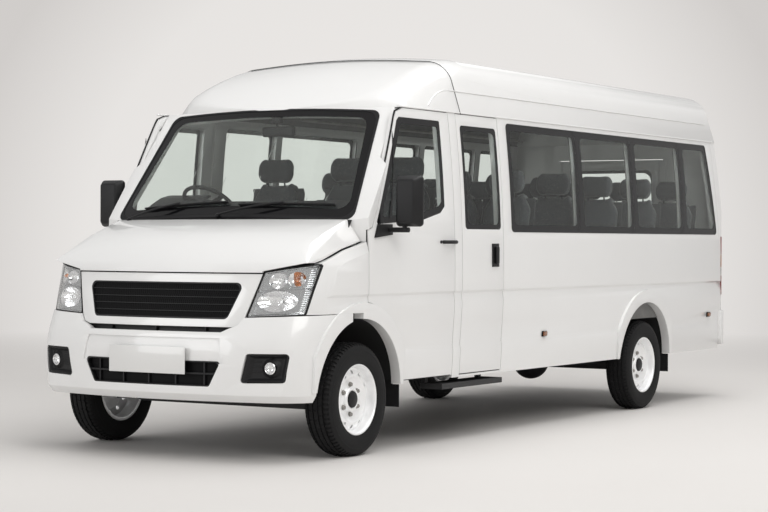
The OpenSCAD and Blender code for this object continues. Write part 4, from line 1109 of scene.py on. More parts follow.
class MINIBUS_OT_headlamps(bpy.types.Operator):
    """Headlamps with lenses, ribbed reflectors, bulbs and seals, and round fog lamps in their pockets"""
    bl_idname = "minibus.headlamps"
    bl_label = "Front lamps"

    LAMP = [(0.640, 0.872), (0.962, 0.889), (1.000, 1.181), (0.716, 1.135)]
    LOW = (0.800, 0.965, 0.118, 0.062)
    HIGH = (0.795, 1.088, 0.056, 0.046)
    TURN = (0.897, 1.098, 0.044, 0.044)
    POCKET = [(0.647, 0.484), (0.909, 0.490), (0.931, 0.652), (0.688, 0.649)]
    FOG = (0.822, 0.570)

    def bowl(self, y, z, spec, deep, ribs):
        """Depth added by one reflector bowl, with fine radial ribs."""
        a = (y - spec[0]) / spec[2]
        b = (z - spec[1]) / spec[3]
        ratio = a * a + b * b
        if ratio >= 1:
            return 0.0
        wave = 0.0012 * math.sin(ribs * math.atan2(b, a)) if ratio > 0.08 else 0
        return deep * (1 - ratio) + wave * (1 - ratio)

    def depth(self, y, z, u, v):
        value = 0.017
        value += self.bowl(y, z, self.LOW, 0.058, 26)
        value += self.bowl(y, z, self.HIGH, 0.048, 20)
        value += self.bowl(y, z, self.TURN, 0.030, 0)
        value += 0.0022 * math.sin(z * 480) * step_up(y - 0.12 * (z - 0.89), 0.925, 0.935)
        if abs(z - 1.034 - 0.10 * (y - 0.8)) < 0.005:
            value -= 0.007
        return value - 0.010 * (1 - step_up(edge_of(u, v), 0.0, 0.05))

    def bright(self, y, z):
        """True inside a reflector bowl."""
        return any(((y - s[0]) / s[2]) ** 2 + ((z - s[1]) / s[3]) ** 2 < 1
                   for s in (self.LOW, self.HIGH, self.TURN))

    def pocket_depth(self, y, z, u, v):
        r = math.hypot(y - self.FOG[0], z - self.FOG[1])
        base = 0.006 + 0.030 * step_up(edge_of(u, v), 0.0, 0.16)
        if 0.037 < r < 0.060:
            return min(base, 0.016 + 0.020 * (r - 0.037) / 0.023)
        if r <= 0.037:
            return 0.040
        return base

    def lens(self):
        """The outer face of the CAD lamp block as a thin clear cover."""
        lens = cad_copy("headlamps", "headlamp_lens")
        pick(lens, lambda f: not (f.center.z > 0.8 and f.center.y > 0 and f.normal.x + f.normal.y > 0.62
                                  and abs(f.normal.z) < 0.5))
        bpy.ops.mesh.delete(type="FACE")
        done()
        modify(lens, "SOLIDIFY", thickness=0.003, offset=-1)
        return smooth(outward(lens), 50)

    def execute(self, context):
        lens = self.lens()
        tray = relief("headlamp_tray", self.LAMP, on_nose, self.depth, 150, 110,
                      keep=lambda y, z: not self.bright(y, z))
        bowls = relief("headlamp_bowls", self.LAMP, on_nose, self.depth, 150, 110, keep=self.bright)
        bulbs = []
        forward = Matrix.Rotation(math.pi / 2, 4, "Y")
        for spec, size, deep in ((self.LOW, 0.014, 0.052), (self.HIGH, 0.011, 0.044)):
            at = on_nose(spec[0], spec[1], deep)
            profile = [(0, 0.020), (0.006, 0.018), (size * 0.7, 0.010), (size * 0.72, -0.012), (0, -0.014)]
            bulbs.append(spun("bulb", profile, 20, Matrix.Translation(at) @ forward))
        bulbs = join("headlamp_bulbs", bulbs)
        at = on_nose(self.TURN[0], self.TURN[1], 0.032)
        profile = [(0, 0.018), (0.007, 0.016), (0.012, 0.009), (0.0135, 0.0), (0.012, -0.010), (0, -0.012)]
        amber = spun("turn_bulb", profile, 28, Matrix.Translation(at) @ forward)
        ring_out = [(0.630, 0.862), (0.970, 0.881), (1.010, 1.192), (0.708, 1.144)]
        ring_in = [(0.636, 0.868), (0.962, 0.887), (1.001, 1.186), (0.713, 1.138)]
        loops = [divided(rounded(p, 0.012), 5, 16) for p in (ring_out, ring_in)]
        seal = band_between("headlamp_seal", loops[0], loops[1], lambda y, z, d: on_nose(y, z, -0.001 + d),
                            0.016)
        # fog lamp: pocket, bright ring, lens
        pocket = relief("fog_pocket", self.POCKET, on_bumper, self.pocket_depth, 64, 44)
        bars = [sheet_on(f"pocket_rib_{k}", [(0.685, z), (0.758, z + 0.001), (0.758, z + 0.005),
                                             (0.685, z + 0.004)],
                         lambda y, z_, d: on_bumper(y, z_, 0.030 + d), 0.006, 4, 2)
                for k, z in enumerate((0.545, 0.575, 0.605))]
        pocket = join("fog_pocket", [pocket, *bars])
        outward_turn = Matrix.Rotation(math.radians(12), 4, "Z")
        at = Matrix.Translation(on_bumper(*self.FOG, 0.020)) @ outward_turn @ forward
        ring = spun("fog_ring", [(0.029, 0.006), (0.032, 0.009), (0.036, 0.006), (0.037, -0.020),
                                 (0.028, -0.020), (0.025, -0.012), (0.017, -0.018), (0.007, -0.020),
                                 (0.0, -0.020), (0.0, -0.017), (0.008, -0.017), (0.018, -0.014),
                                 (0.026, -0.004)], 40, at, True)
        glass_disc = spun("fog_lens", [(0, 0.009), (0.012, 0.008), (0.024, 0.004), (0.0285, 0.0),
                                       (0.0285, -0.003), (0.024, 0.001), (0.012, 0.005), (0, 0.006)], 40,
                                       at)
        sets = ((lens, "lens", "lamp_glass"), (tray, "bezel", None), (bowls, "chrome", None),
                (bulbs, "lens", "lamp_glass"), (amber, "amber", None), (seal, "seal", "black_trim"),
                (pocket, "trim", "black_trim"), (ring, "chrome", None), (glass_disc, "lens", "lamp_glass"))
        for obj, key, slot in sets:
            name = obj.name
            place(twin(obj, name + "_right", FLIP_Y), key, "body", slot,
                  ("headlamps",) if name == "headlamp_lens" else ())
            obj.name = name + "_left"
            place(obj, key, "body", slot)
        return {"FINISHED"}


class MINIBUS_OT_grilles(bpy.types.Operator):
    """Mesh grille, lower grille with its bars, slot under the grille and the blank number plate"""
    bl_idname = "minibus.grilles"
    bl_label = "Grilles and plate"

    def mesh_sheet(self, name, corners, place_at, depth, columns, rows, web, wall):
        """Lattice of small openings in staggered rows over a four-cornered outline."""
        fresh()
        bpy.ops.mesh.primitive_grid_add(x_subdivisions=columns, y_subdivisions=rows, size=1)
        obj = named(name)
        edit(obj)
        bpy.ops.mesh.select_all(action="SELECT")
        bpy.ops.mesh.inset(thickness=web, use_individual=True, use_relative_offset=True)
        bpy.ops.mesh.delete(type="FACE")
        done()
        a, b, c, d = [Vector(p) for p in corners]
        for vertex in obj.data.vertices:
            u, v = vertex.co.x + 0.5, vertex.co.y + 0.5
            row = v * rows
            u += (0.30 / columns) * math.sin(math.pi * row)
            point = a.lerp(b, u).lerp(d.lerp(c, u), v)
            vertex.co = place_at(point.x, point.y, depth)
        modify(obj, "SOLIDIFY", thickness=wall, offset=-1)
        return outward(obj)

    def bar(self, name, y0, y1, z0, z1, place_at, depth, thick):
        columns = max(2, int(abs(y1 - y0) / 0.05))
        return sheet_on(name, oblong((y0, z0), (y1, z1)),
                        lambda y, z, d: place_at(y, z, depth + d), thick, columns, 1)

    def execute(self, context):
        opening = [(-0.512, 0.858), (0.512, 0.858), (0.592, 1.072), (-0.592, 1.072)]
        lattice = self.mesh_sheet("grille_mesh", opening, on_nose, 0.012, 74, 15, 0.13, 0.010)
        bars = []
        for k in range(1, 5):
            z = 0.858 + 0.214 * k / 5
            half = 0.512 + 0.080 * k / 5
            bars.append(self.bar(f"grille_bar_{k}", -half, half, z - 0.0022, z + 0.0022, on_nose, 0.007,
                                 0.012))
        lip_out = [(-0.512, 0.853), (0.512, 0.853), (0.598, 1.077), (-0.598, 1.077)]
        lip_in = [(-0.504, 0.865), (0.504, 0.865), (0.582, 1.066), (-0.582, 1.066)]
        loops = [divided(rounded(p, 0.034), 5, 22) for p in (lip_out, lip_in)]
        lip = band_between("grille_lip", loops[0], loops[1], lambda y, z, d: on_nose(y, z, 0.003 + d),
                           0.032)
        place(lattice, "grille", "body", "black_trim")
        place(join("grille_insert", [*bars, lip]), "trim", "body", "black_trim")
        coat("grille", "grille")

        # slot under the grille, with its small posts
        slot = self.bar("slot_back", -0.585, 0.585, 0.752, 0.822, on_nose, 0.040, 0.006)
        posts = [self.bar(f"slot_post_{k}", y - 0.004, y + 0.004, 0.757, 0.806, on_nose, 0.020, 0.020)
                 for k, y in enumerate((-0.36, 0.0, 0.36))]
        rail = self.bar("slot_rail", -0.56, 0.56, 0.757, 0.764, on_nose, 0.012, 0.028)
        place(join("grille_slot", [slot, rail, *posts]), "trim", "body", "black_trim")

        # lower grille
        lower = [(-0.446, 0.456), (0.446, 0.456), (0.520, 0.600), (-0.520, 0.600)]
        back = self.mesh_sheet("lower_mesh", lower, on_bumper, 0.030, 60, 9, 0.14, 0.006)
        parts = [back, self.bar("lower_bar", -0.485, 0.485, 0.524, 0.534, on_bumper, 0.010, 0.022)]
        for k, y in enumerate((-0.40, -0.20, 0.0, 0.20, 0.40)):
            parts.append(self.bar(f"lower_post_{k}", y - 0.005, y + 0.005, 0.458, 0.598, on_bumper, 0.016,
                                  0.016))
        loops = [divided(rounded(p, 0.020), 5, 20) for p in (
            [(-0.441, 0.451), (0.441, 0.451), (0.523, 0.605), (-0.523, 0.605)],
            [(-0.434, 0.459), (0.434, 0.459), (0.512, 0.597), (-0.512, 0.597)])]
        place(parts.pop(0), "grille", "body", "black_trim")
        parts.append(band_between("lower_lip", loops[0], loops[1],
                                  lambda y, z, d: on_bumper(y, z, 0.006 + d), 0.036))
        place(join("lower_grille", parts), "trim", "body", "black_trim")

        plate = box("number_plate_front", (X_NOSE + 0.0004, -0.290, 0.523), (X_NOSE + 0.0034, 0.290, 0.686),
                    0.0012)
        place(plate, "plate", "body")
        backing = box("plate_holder_front", (X_NOSE - 0.014, -0.270, 0.535),
                      (X_NOSE + 0.0004, 0.270, 0.676), 0.003)
        place(backing, "trim", "body", "black_trim")
        return {"FINISHED"}


class MINIBUS_OT_wipers(bpy.types.Operator):
    """Two wipers parked low on the screen, the cowl strip below it and the inside mirror"""
    bl_idname = "minibus.wipers"
    bl_label = "Wipers and cowl"

    def wiper(self, name, pivot, elbow, tip_in, tip_out):
        hub = disc(f"{name}_hub", on_screen(pivot[0], pivot[1], -0.016), 0.017, 0.030,
                   (math.cos(SCREEN_TILT), 0, math.sin(SCREEN_TILT)), 24, 0.004)
        def along_arm(t):
            return on_screen(pivot[0] + (elbow[0] - pivot[0]) * t, pivot[1] + (elbow[1] - pivot[1]) * t,
                             -0.030 - 0.012 * math.sin(math.pi * t))
        arm = bead(f"{name}_arm", [along_arm(i / 10) for i in range(11)], 0.0075)
        blade_points = [(tip_in[0] + (tip_out[0] - tip_in[0]) * i / 16,
                         tip_in[1] + (tip_out[1] - tip_in[1]) * i / 16)
                        for i in range(17)]
        spine = bead(f"{name}_spine", [on_screen(y, up, -0.021) for y, up in blade_points], 0.0055)
        lip = sheet_on(f"{name}_lip", [(tip_in[0], tip_in[1] - 0.003), (tip_out[0], tip_out[1] - 0.003),
                                       (tip_out[0], tip_out[1] + 0.003), (tip_in[0], tip_in[1] + 0.003)],
                       lambda y, up, d: on_screen(y, up, d - 0.018), 0.017, 16, 1)
        return [hub, arm, spine, lip]

    def execute(self, context):
        pieces = self.wiper("wiper_right", (-0.80, -0.028), (-0.40, 0.075), (-0.70, 0.058), (-0.02, 0.084))
        pieces += self.wiper("wiper_left", (-0.05, -0.028), (0.42, 0.078), (0.08, 0.062), (0.78, 0.088))
        place(join("wipers", pieces), "trim", "body", "black_trim")
        strip = sheet_on("cowl_strip", oblong((-0.925, -0.066), (0.925, -0.010)),
                         lambda y, up, d: on_screen(y, up, d - 0.004), 0.005, 40, 2)
        slats = [sheet_on(f"cowl_slat_{k}", oblong((-0.80, up), (0.80, up + 0.004)),
                          lambda y, u, d: on_screen(y, u, d - 0.008), 0.004, 40, 1)
                 for k, up in enumerate((-0.056, -0.044, -0.032))]
        place(join("cowl_cover", [strip, *slats]), "trim", "body", "black_trim")
        x, _, z = on_screen(0.05, 0.735, 0.075)
        mirror = box("inside_mirror_case", (x - 0.045, -0.075, z - 0.034), (x - 0.005, 0.175, z + 0.034),
                     0.014, 4)
        stem = bead("inside_mirror_stem", [(x - 0.02, 0.05, z), on_screen(0.05, 0.80, 0.012)], 0.007)
        pad = box("inside_mirror_pad", Vector(on_screen(0.05, 0.80, 0.030)) - Vector((0.022, 0.035, 0.028)),
                  Vector(on_screen(0.05, 0.80, 0.030)) + Vector((0.018, 0.035, 0.028)), 0.008, 3)
        place(join("inside_mirror", [mirror, stem, pad]), "trim", "body", "black_trim")
        return {"FINISHED"}


class MINIBUS_OT_outside_trim(bpy.types.Operator):
    """Door handles, side markers, mirrors, seams, drip rails and door seals"""
    bl_idname = "minibus.outside_trim"
    bl_label = "Outside trim"

    def handle(self, name):
        """Pull handle and lock on a front door."""
        x0, x1, z = XF - 1.165, XF - 1.015, 1.325
        points = [(x0, z, 0.004), (x0 + 0.012, z, -0.024), (x0 + 0.04, z, -0.036), (x1 - 0.04, z, -0.036),
                  (x1 - 0.012, z, -0.024), (x1, z, 0.004)]
        bar = bead(f"{name}_bar", [on_left(x, zz, d) for x, zz, d in points], 0.0125, 12)
        lock = disc(f"{name}_lock", on_left(x1 + 0.028, z, -0.001), 0.011, 0.006, (0, 1, 0), 24, 0.001)
        return join(name, [bar, lock])

    def execute(self, context):
        place_pair(self.handle("front_handle"), "front_handle", "trim", "black_trim", True)
        # recessed upright handle on the passenger door
        x0, x1 = XF - 1.790, XF - 1.690
        plate = sheet_on("entry_plate", oblong((x0, 1.155), (x1, 1.315)),
                         lambda x, z, d: on_left(x, z, d - 0.005), 0.005, 4, 6)
        round_edges(plate, 0.0015, 2)
        bar = box("entry_bar", (x0 + 0.030, side_y(1.235) + 0.008, 1.175),
                  (x1 - 0.030, side_y(1.235) + 0.026, 1.295), 0.007, 3)
        posts = [box("entry_post", (x0 + 0.036, side_y(1.235), z),
                     (x1 - 0.036, side_y(1.235) + 0.014, z + 0.016), 0.002) for z in (1.178, 1.276)]
        place(join("entry_handle", [plate, bar, *posts]), "trim", "passenger_door", "black_trim")
        # side markers
        markers, bases = [], []
        for x, z in ((XF - 2.51, 0.665), (XF - 5.60, 0.715)):
            marker = sheet_on("marker", oblong((x - 0.028, z - 0.016), (x + 0.028, z + 0.016)),
                              lambda u, v, d: on_left(u, v, d - 0.013), 0.012, 3, 3)
            markers.append(round_edges(marker, 0.004, 3))
            base = sheet_on("marker_base", oblong((x - 0.033, z - 0.020), (x + 0.033, z + 0.020)),
                            lambda u, v, d: on_left(u, v, d - 0.004), 0.009, 2, 2)
            bases.append(round_edges(base, 0.0015, 2))
        place_pair(join("side_markers", markers), "side_markers", "amber")
        place_pair(join("side_marker_bases", bases), "side_marker_bases", "seal", "black_trim")
        # mirrors
        c = Vector((XF - 0.312, 1.186, 1.580))
        glass_face = box("door_mirror_glass_left", c + Vector((-0.0445, -0.074, -0.138)),
                         c + Vector((-0.0405, 0.074, 0.138)), 0.0015)
        place_pair(glass_face, "door_mirror_glass", "mirror", on_doors=True)
        for side in ("left", "right"):
            case = smooth(cad_copy(f"mirror_{side}", f"door_mirror_{side}"), 30)
            place(case, "trim", f"front_door_{side}", "black_trim", (f"mirror_{side}",))
        # drip rails, and the seam of the roof cap
        rail = bead("drip_rail_left", [on_left(2.08 - 5.26 * i / 50, 2.196, -0.002) for i in range(51)],
                    0.0065)
        place_pair(rail, "drip_rail", "paint", "body_paint")
        # pressed ridge along the roof's side, running down over the cab
        ridge = [(-3.10 + 4.45 * i / 60, 2.344) for i in range(61)]
        ridge += [(1.35 + 0.08 * i, 2.344 - 0.0075 * i * i) for i in range(1, 5)]
        points = []
        for x, z in ridge:
            side = roof_section(x)
            y = next((a[0] + (b[0] - a[0]) * (z - a[1]) / max(1e-6, b[1] - a[1])
                      for a, b in zip(side, side[1:]) if a[1] <= z <= b[1]), side[0][0])
            points.append((x, y + 0.001, z))
        bar = bead("roof_ridge_left", points, 0.0055)
        place_pair(bar, "roof_ridge", "paint", "body_paint")
        section = roof_section(1.27, 0.0005)
        loop = section + [(-y, z) for y, z in reversed(section[:-1])]
        seam = bead("roof_cap_seam", [(1.2698, y, z) for y, z in loop], 0.0028, 6)
        place(seam, "seal", "body", "black_trim")
        # rubber in the door gaps
        def seal(name, outline, gap=(0.0015, 0.0065)):
            outer = [Vector(p) for p in outline(gap[1])]
            inner = [Vector(p) for p in outline(gap[0])]
            loops = []
            for loop_points in (outer, inner):
                fine = []
                for i, p in enumerate(loop_points):
                    q = loop_points[(i + 1) % len(loop_points)]
                    fine += [p.lerp(q, k / 16) for k in range(16)]
                loops.append(fine)
            return band_between(name, loops[0], loops[1], lambda x, z, d: on_left(x, z, 0.012 + d), 0.010)
        def front_outline(g):
            return [(X_COWL + g, 0.442 - g), (X_COWL + g, 1.395), (X_COWL - 0.05 + g, 1.412 + g),
                    (XF - 0.495 + g, 2.125), (XF - 0.520 + g, 2.160 + g), (XF - 0.590, 2.186 + g),
                    (X_DOOR1 - g, 2.186 + g), (X_DOOR1 - g, 0.442 - g)]
        def entry_outline(g):
            return [(X_ENTRY0 + g, 0.442 - g), (X_ENTRY0 + g, 2.186 + g), (X_ENTRY1 - g, 2.186 + g),
                    (X_ENTRY1 - g, 0.442 - g)]
        front = seal("front_door_seal_left", front_outline)
        pick(front, lambda f: math.hypot(f.center.x - XF, f.center.z - 0.365) < 0.600 and f.center.z < 0.95)
        bpy.ops.mesh.delete(type="FACE")
        done()
        place_pair(front, "front_door_seal", "seal", "black_trim")
        place(seal("entry_door_seal", entry_outline), "seal", "body", "black_trim")
        return {"FINISHED"}


def slab(name, points, y0, y1, bevel=0.0, segments=2):
    """Block with an (x, z) outline between two values of y."""
    fresh()
    bpy.ops.mesh.primitive_circle_add(vertices=len(points), radius=1, fill_type="NGON")
    obj = named(name)
    for vertex, (x, z) in zip(obj.data.vertices, points):
        vertex.co = (x, y0, z)
    edit(obj)
    bpy.ops.mesh.select_all(action="SELECT")
    bpy.ops.mesh.extrude_region_move(TRANSFORM_OT_translate={"value": (0, y1 - y0, 0)})
    done()
    outward(obj)
    return round_edges(obj, bevel, segments) if bevel else obj


def blown(obj, voxel, cap):
    """Fill a closed form with air as cloth, then keep each point within a cap of its start."""
    take(obj)
    obj.data.remesh_voxel_size = voxel
    obj.data.use_remesh_preserve_volume = True
    bpy.ops.object.voxel_remesh()
    start = [v.co.copy() for v in obj.data.vertices]
    modifier = obj.modifiers.new("Fill", "CLOTH")
    settings = modifier.settings
    settings.quality = 4
    settings.mass = 0.4
    settings.tension_stiffness = settings.compression_stiffness = 18
    settings.use_pressure = True
    settings.uniform_pressure_force = 4
    settings.effector_weights.gravity = 0
    modifier.point_cache.frame_start, modifier.point_cache.frame_end = 1, 20
    scene = bpy.context.scene
    for frame_number in range(1, 21):
        scene.frame_set(frame_number)
    take(obj)
    bpy.ops.object.modifier_apply(modifier=modifier.name)
    scene.frame_set(1)
    for vertex, old in zip(obj.data.vertices, start):
        move = vertex.co - old
        if move.length > cap:
            vertex.co = old + move * (cap / move.length)
    return obj


def cushion(name, size, corner, voxel, cap, bolster, channels):
    """Crowned pad of a given width, length and depth, its sides drawn in, with sewn channels."""
    width, length, depth = size
    pad = box(name, (-length / 2, -width / 2, 0), (length / 2, width / 2, depth), corner, 4)
    take(pad)
    edit(pad)
    bpy.ops.mesh.select_all(action="SELECT")
    bpy.ops.mesh.subdivide(number_cuts=5)
    done()
    for vertex in pad.data.vertices:
        u, v = 2 * vertex.co.x / length, 2 * vertex.co.y / width
        top = max(0.0, vertex.co.z / depth)
        vertex.co.x *= 1 - 0.022 * (1 - v * v)
        vertex.co.y *= 1 - 0.022 * (1 - u * u)
        vertex.co.z += top * (bolster * step_up(abs(v), 0.55, 0.85) + 0.008 * (1 - u * u))
    blown(pad, voxel, cap)
    modify(pad, "SUBSURF", levels=1, render_levels=1)
    for vertex in pad.data.vertices:
        lift = step_up(vertex.co.z / depth, 0.45, 0.8)
        for axis, at in channels:
            gap = (vertex.co.y if axis == "y" else vertex.co.x) - at
            vertex.co.z -= 0.006 * lift * math.exp(-(gap / 0.0075) ** 2)
        rim = abs(vertex.co.z - 0.62 * depth)
        inward = Vector((vertex.co.x, vertex.co.y, 0))
        edge = max(abs(2 * vertex.co.x / length), abs(2 * vertex.co.y / width))
        if edge > 0.85 and inward.length:
            vertex.co -= inward.normalized() * 0.004 * math.exp(-(rim / 0.006) ** 2)
    return smooth(pad, 60)


class MINIBUS_OT_seats(bpy.types.Operator):
    """Cloth seats with blown cushions, sewn channels, shells and legs"""
    bl_idname = "minibus.seats"
    bl_label = "Seats"

    WIDTH = 0.420

    def spots(self):
        cab = [(CAB_SEAT_X, y, 1.20) for y in (-0.42, 0.185, 0.635)]
        cabin = []
        for i, x in enumerate(SEAT_ROWS):
            cabin += [(x, 0.730, 1.15), (x, 0.288, 1.15), (x, -0.730, 1.15)]
            if i == len(SEAT_ROWS) - 1:
                cabin.append((x, -0.288, 1.15))
        return cab, cabin

    def frame(self, x, y, head):
        """Hard shell behind the back, tray under the base, legs and headrest posts."""
        z, w = CABIN_FLOOR_Z, self.WIDTH / 2
        inside = abs(x + 0.2 - XR) < 0.50 and abs(y) > 0.6
        foot = z + 0.14 if inside else z + 0.001
        shell = [(x - 0.070, z + 0.300), (x - 0.186, z + head - 0.245), (x - 0.170, z + head - 0.203),
                 (x - 0.156, z + head - 0.210), (x - 0.166, z + head - 0.245), (x - 0.050, z + 0.300)]
        parts = [slab("shell", shell, y - w - 0.004, y + w + 0.004, 0.005),
                 box("tray", (x - 0.060, y - w - 0.004, z + 0.288), (x + 0.448, y + w + 0.004, z + 0.318),
                     0.008)]
        for dx in (0.0, 0.38):
            for y0 in (y - w + 0.05, y + w - 0.08):
                parts.append(box("leg", (x + dx, y0, foot), (x + dx + 0.022, y0 + 0.03, z + 0.295), 0.004))
        for side in (-0.07, 0.07):
            parts.append(disc("post", (x - 0.145, y + side, z + head - 0.20), 0.006, 0.08, (0.15, 0, 1),
                              12))
        return parts

    def execute(self, context):
        base = cushion("seat_base", (self.WIDTH - 0.012, 0.470, 0.088), 0.022, 0.0145, 0.016, 0.016,
                       (("y", 0.125), ("y", -0.125), ("x", 0.03)))
        back = cushion("seat_back", (self.WIDTH - 0.014, 0.560, 0.082), 0.022, 0.0145, 0.016, 0.020,
                       (("y", 0.120), ("y", -0.120), ("x", -0.02), ("x", 0.13)))
        rest = cushion("head_rest", (0.285, 0.170, 0.076), 0.034, 0.012, 0.012, 0.004, ())
        for vertex in back.data.vertices:
            vertex.co.y *= 1 - 0.34 * step_up(-vertex.co.x / 0.28, 0.52, 1.02)
        for vertex in rest.data.vertices:
            vertex.co.y *= 1 - 0.16 * step_up(abs(vertex.co.x) / 0.085, 0.2, 1.0)
        cab, cabin = self.spots()
        frames = []
        for group, spots in (("cab", cab), ("cabin", cabin)):
            for i, (x, y, head) in enumerate(spots):
                z = CABIN_FLOOR_Z
                frames += self.frame(x, y, head)
                rise = head - 0.60
                lean = math.atan2(0.150, rise)
                poses = (
                    (base, Matrix.Translation((x + 0.215, y, z + 0.312)) @ Matrix.Rotation(-0.035, 4, "Y"),
                     0.6),
                    (back, Matrix.Translation((x - 0.010, y, z + 0.395)) @ Matrix.Rotation(-lean, 4, "Y")
                     @ Matrix.Translation((-0.052, 0, (rise + 0.070) / 2))
                     @ Matrix.Rotation(math.pi / 2, 4, "Y")
                     @ Matrix.Rotation(math.pi, 4, "X") @ Matrix.Translation((0, 0, -0.075))
                     @ Matrix.Diagonal(((rise + 0.070) / 0.560 * 0.985, 1, 1, 1)), 0.6),
                    (rest, Matrix.Translation((x - 0.182, y, z + head - 0.088))
                     @ Matrix.Rotation(math.pi / 2 - 0.12, 4, "Y"), 0.7),
                )
                for source, matrix, fill in poses:
                    pad = twin(source, f"{group}_{source.name}_{i + 1}", matrix)
                    place(pad, "fabric", "body", "seat_fabric")
        for source in (base, back, rest):
            bpy.data.objects.remove(source)
        shells = join("seat_frames", frames)
        place(shells, "seat_shell", "body", "black_trim", ("cab_seats", "passenger_seats"))
        return {"FINISHED"}


class MINIBUS_OT_cabin(bpy.types.Operator):
    """Dashboard, steering wheel, linings and grab rails"""
    bl_idname = "minibus.cabin"
    bl_label = "Cabin"

    def wheel(self):
        turn = Matrix.Translation(STEER) @ Matrix.Rotation(-STEER_LEAN, 4, "Y")
        fresh()
        bpy.ops.mesh.primitive_torus_add(major_radius=0.181, minor_radius=0.0138, major_segments=72,
                                         minor_segments=16)
        rim = named("wheel_rim")
        for v in rim.data.vertices:
            a = math.atan2(v.co.y, v.co.x)
            v.co.z += 0.0012 * math.sin(24 * a) * (1 if v.co.z < 0 else 0)
        parts = [smooth(rim, 50)]
        parts.append(spun("hub_pad", [(0, 0.012), (0.030, 0.011), (0.050, 0.006), (0.060, -0.004),
                                      (0.062, -0.022), (0.050, -0.030), (0, -0.030)], 40))
        for angle in (180, 300, 60):
            spoke = box("spoke", (0.050, -0.017, -0.014), (0.172, 0.017, -0.002), 0.004, 2)
            spoke.data.transform(Matrix.Rotation(math.radians(angle), 4, "Z"))
            parts.append(spoke)
        whole = join("steering_wheel_trim", parts)
        whole.data.transform(turn)
        place(whole, "trim", "steering_wheel", "black_trim", ("steering_wheel",))

    def dash(self):
        copy = cad_copy("dashboard", "dash_moulding")
        round_edges(copy, 0.010, 3, 35)
        place(copy, "dash", "body", "dash_plastic", ("dashboard",))
        pieces, dials, rings = [], [], []
        for y in (-0.78, -0.10, 0.08, 0.76):
            frame_box = box("vent", (-0.006, -0.055, -0.030), (0.010, 0.055, 0.030), 0.006)
            slats = [box("slat", (-0.012, -0.046, z - 0.0015), (0.006, 0.046, z + 0.0015), 0.0006)
                     for z in (-0.018, -0.006, 0.006, 0.018)]
            vent = join("vent", [frame_box, *slats])
            vent.data.transform(Matrix.Translation((XF - 0.398, y, 1.455)) @ Matrix.Rotation(-0.29, 4, "Y"))
            pieces.append(vent)
        stack = box("centre_stack", (XF - 0.424, -0.150, 1.205), (XF - 0.395, 0.150, 1.395), 0.008)
        knobs = [disc("knob", (XF - 0.428, y, 1.245), 0.018, 0.020, (1, 0, 0), 24, 0.003)
                 for y in (-0.08, 0, 0.08)]
        pieces += [stack, *knobs]
        cover = box("column_cover", (-0.055, -0.050, -0.250), (0.055, 0.050, -0.062), 0.018, 3)
        cover.data.transform(Matrix.Translation(STEER) @ Matrix.Rotation(-STEER_LEAN, 4, "Y"))
        stalks = []
        for side in (-1, 1):
            reach = [(0, side * 0.04, -0.085), (0.0, side * 0.10, -0.080), (0.0, side * 0.165, -0.068)]
            stalk = bead("stalk", reach, 0.006)
            stalk.data.transform(Matrix.Translation(STEER) @ Matrix.Rotation(-STEER_LEAN, 4, "Y"))
            stalks.append(stalk)
        hood = slab("binnacle", [(XF - 0.46, 1.42), (XF - 0.22, 1.42), (XF - 0.225, 1.475),
                                 (XF - 0.30, 1.56), (XF - 0.37, 1.615), (XF - 0.46, 1.635),
                                 (XF - 0.475, 1.625), (XF - 0.40, 1.60), (XF - 0.395, 1.46)], -0.92, -0.34)
        for vertex in hood.data.vertices:
            vertex.co.y = -0.63 + (vertex.co.y + 0.63) * (1.0 - 0.40 * step_up(vertex.co.z, 1.46, 1.64))
        shelf = slab("dash_shelf", [(XF - 0.45, 1.42), (XF - 0.22, 1.42), (XF - 0.235, 1.49),
                                    (XF - 0.31, 1.56), (XF - 0.40, 1.59), (XF - 0.455, 1.585)], -0.36, 0.84)
        for vertex in shelf.data.vertices:
            vertex.co.y -= 0.06 * step_up(vertex.co.z, 1.46, 1.60) * (1 if vertex.co.y > 0 else 0)
        top = join("dash_top", [round_edges(hood, 0.016, 3, 20), round_edges(shelf, 0.016, 3, 20)])
        place(top, "dash", "body", "dash_plastic")
        place(join("dash_details", [*pieces, cover, *stalks]), "trim", "body", "black_trim")
        face = Matrix.Translation((XF - 0.362, -0.42, 1.540)) @ Matrix.Rotation(-0.55, 4, "Y")
        for y, r in ((-0.085, 0.052), (0.085, 0.052), (0, 0.026)):
            turn = face @ Matrix.Translation((0, y, 0)) @ Matrix.Rotation(-math.pi / 2, 4, "Y")
            section = [(r, 0), (r + 0.004, 0.004), (r + 0.007, 0), (r + 0.007, -0.006), (r, -0.006)]
            rings.append(spun("dial_ring", section, 32, turn, True))
            dials.append(spun("dial", [(0, 0.0015), (r, 0.0015), (r, -0.002), (0, -0.002)], 32, turn))
        place(join("dial_rings", rings), "bezel", "body", "black_trim")
        place(join("dials", dials), "gloss_black", "body", "black_trim")

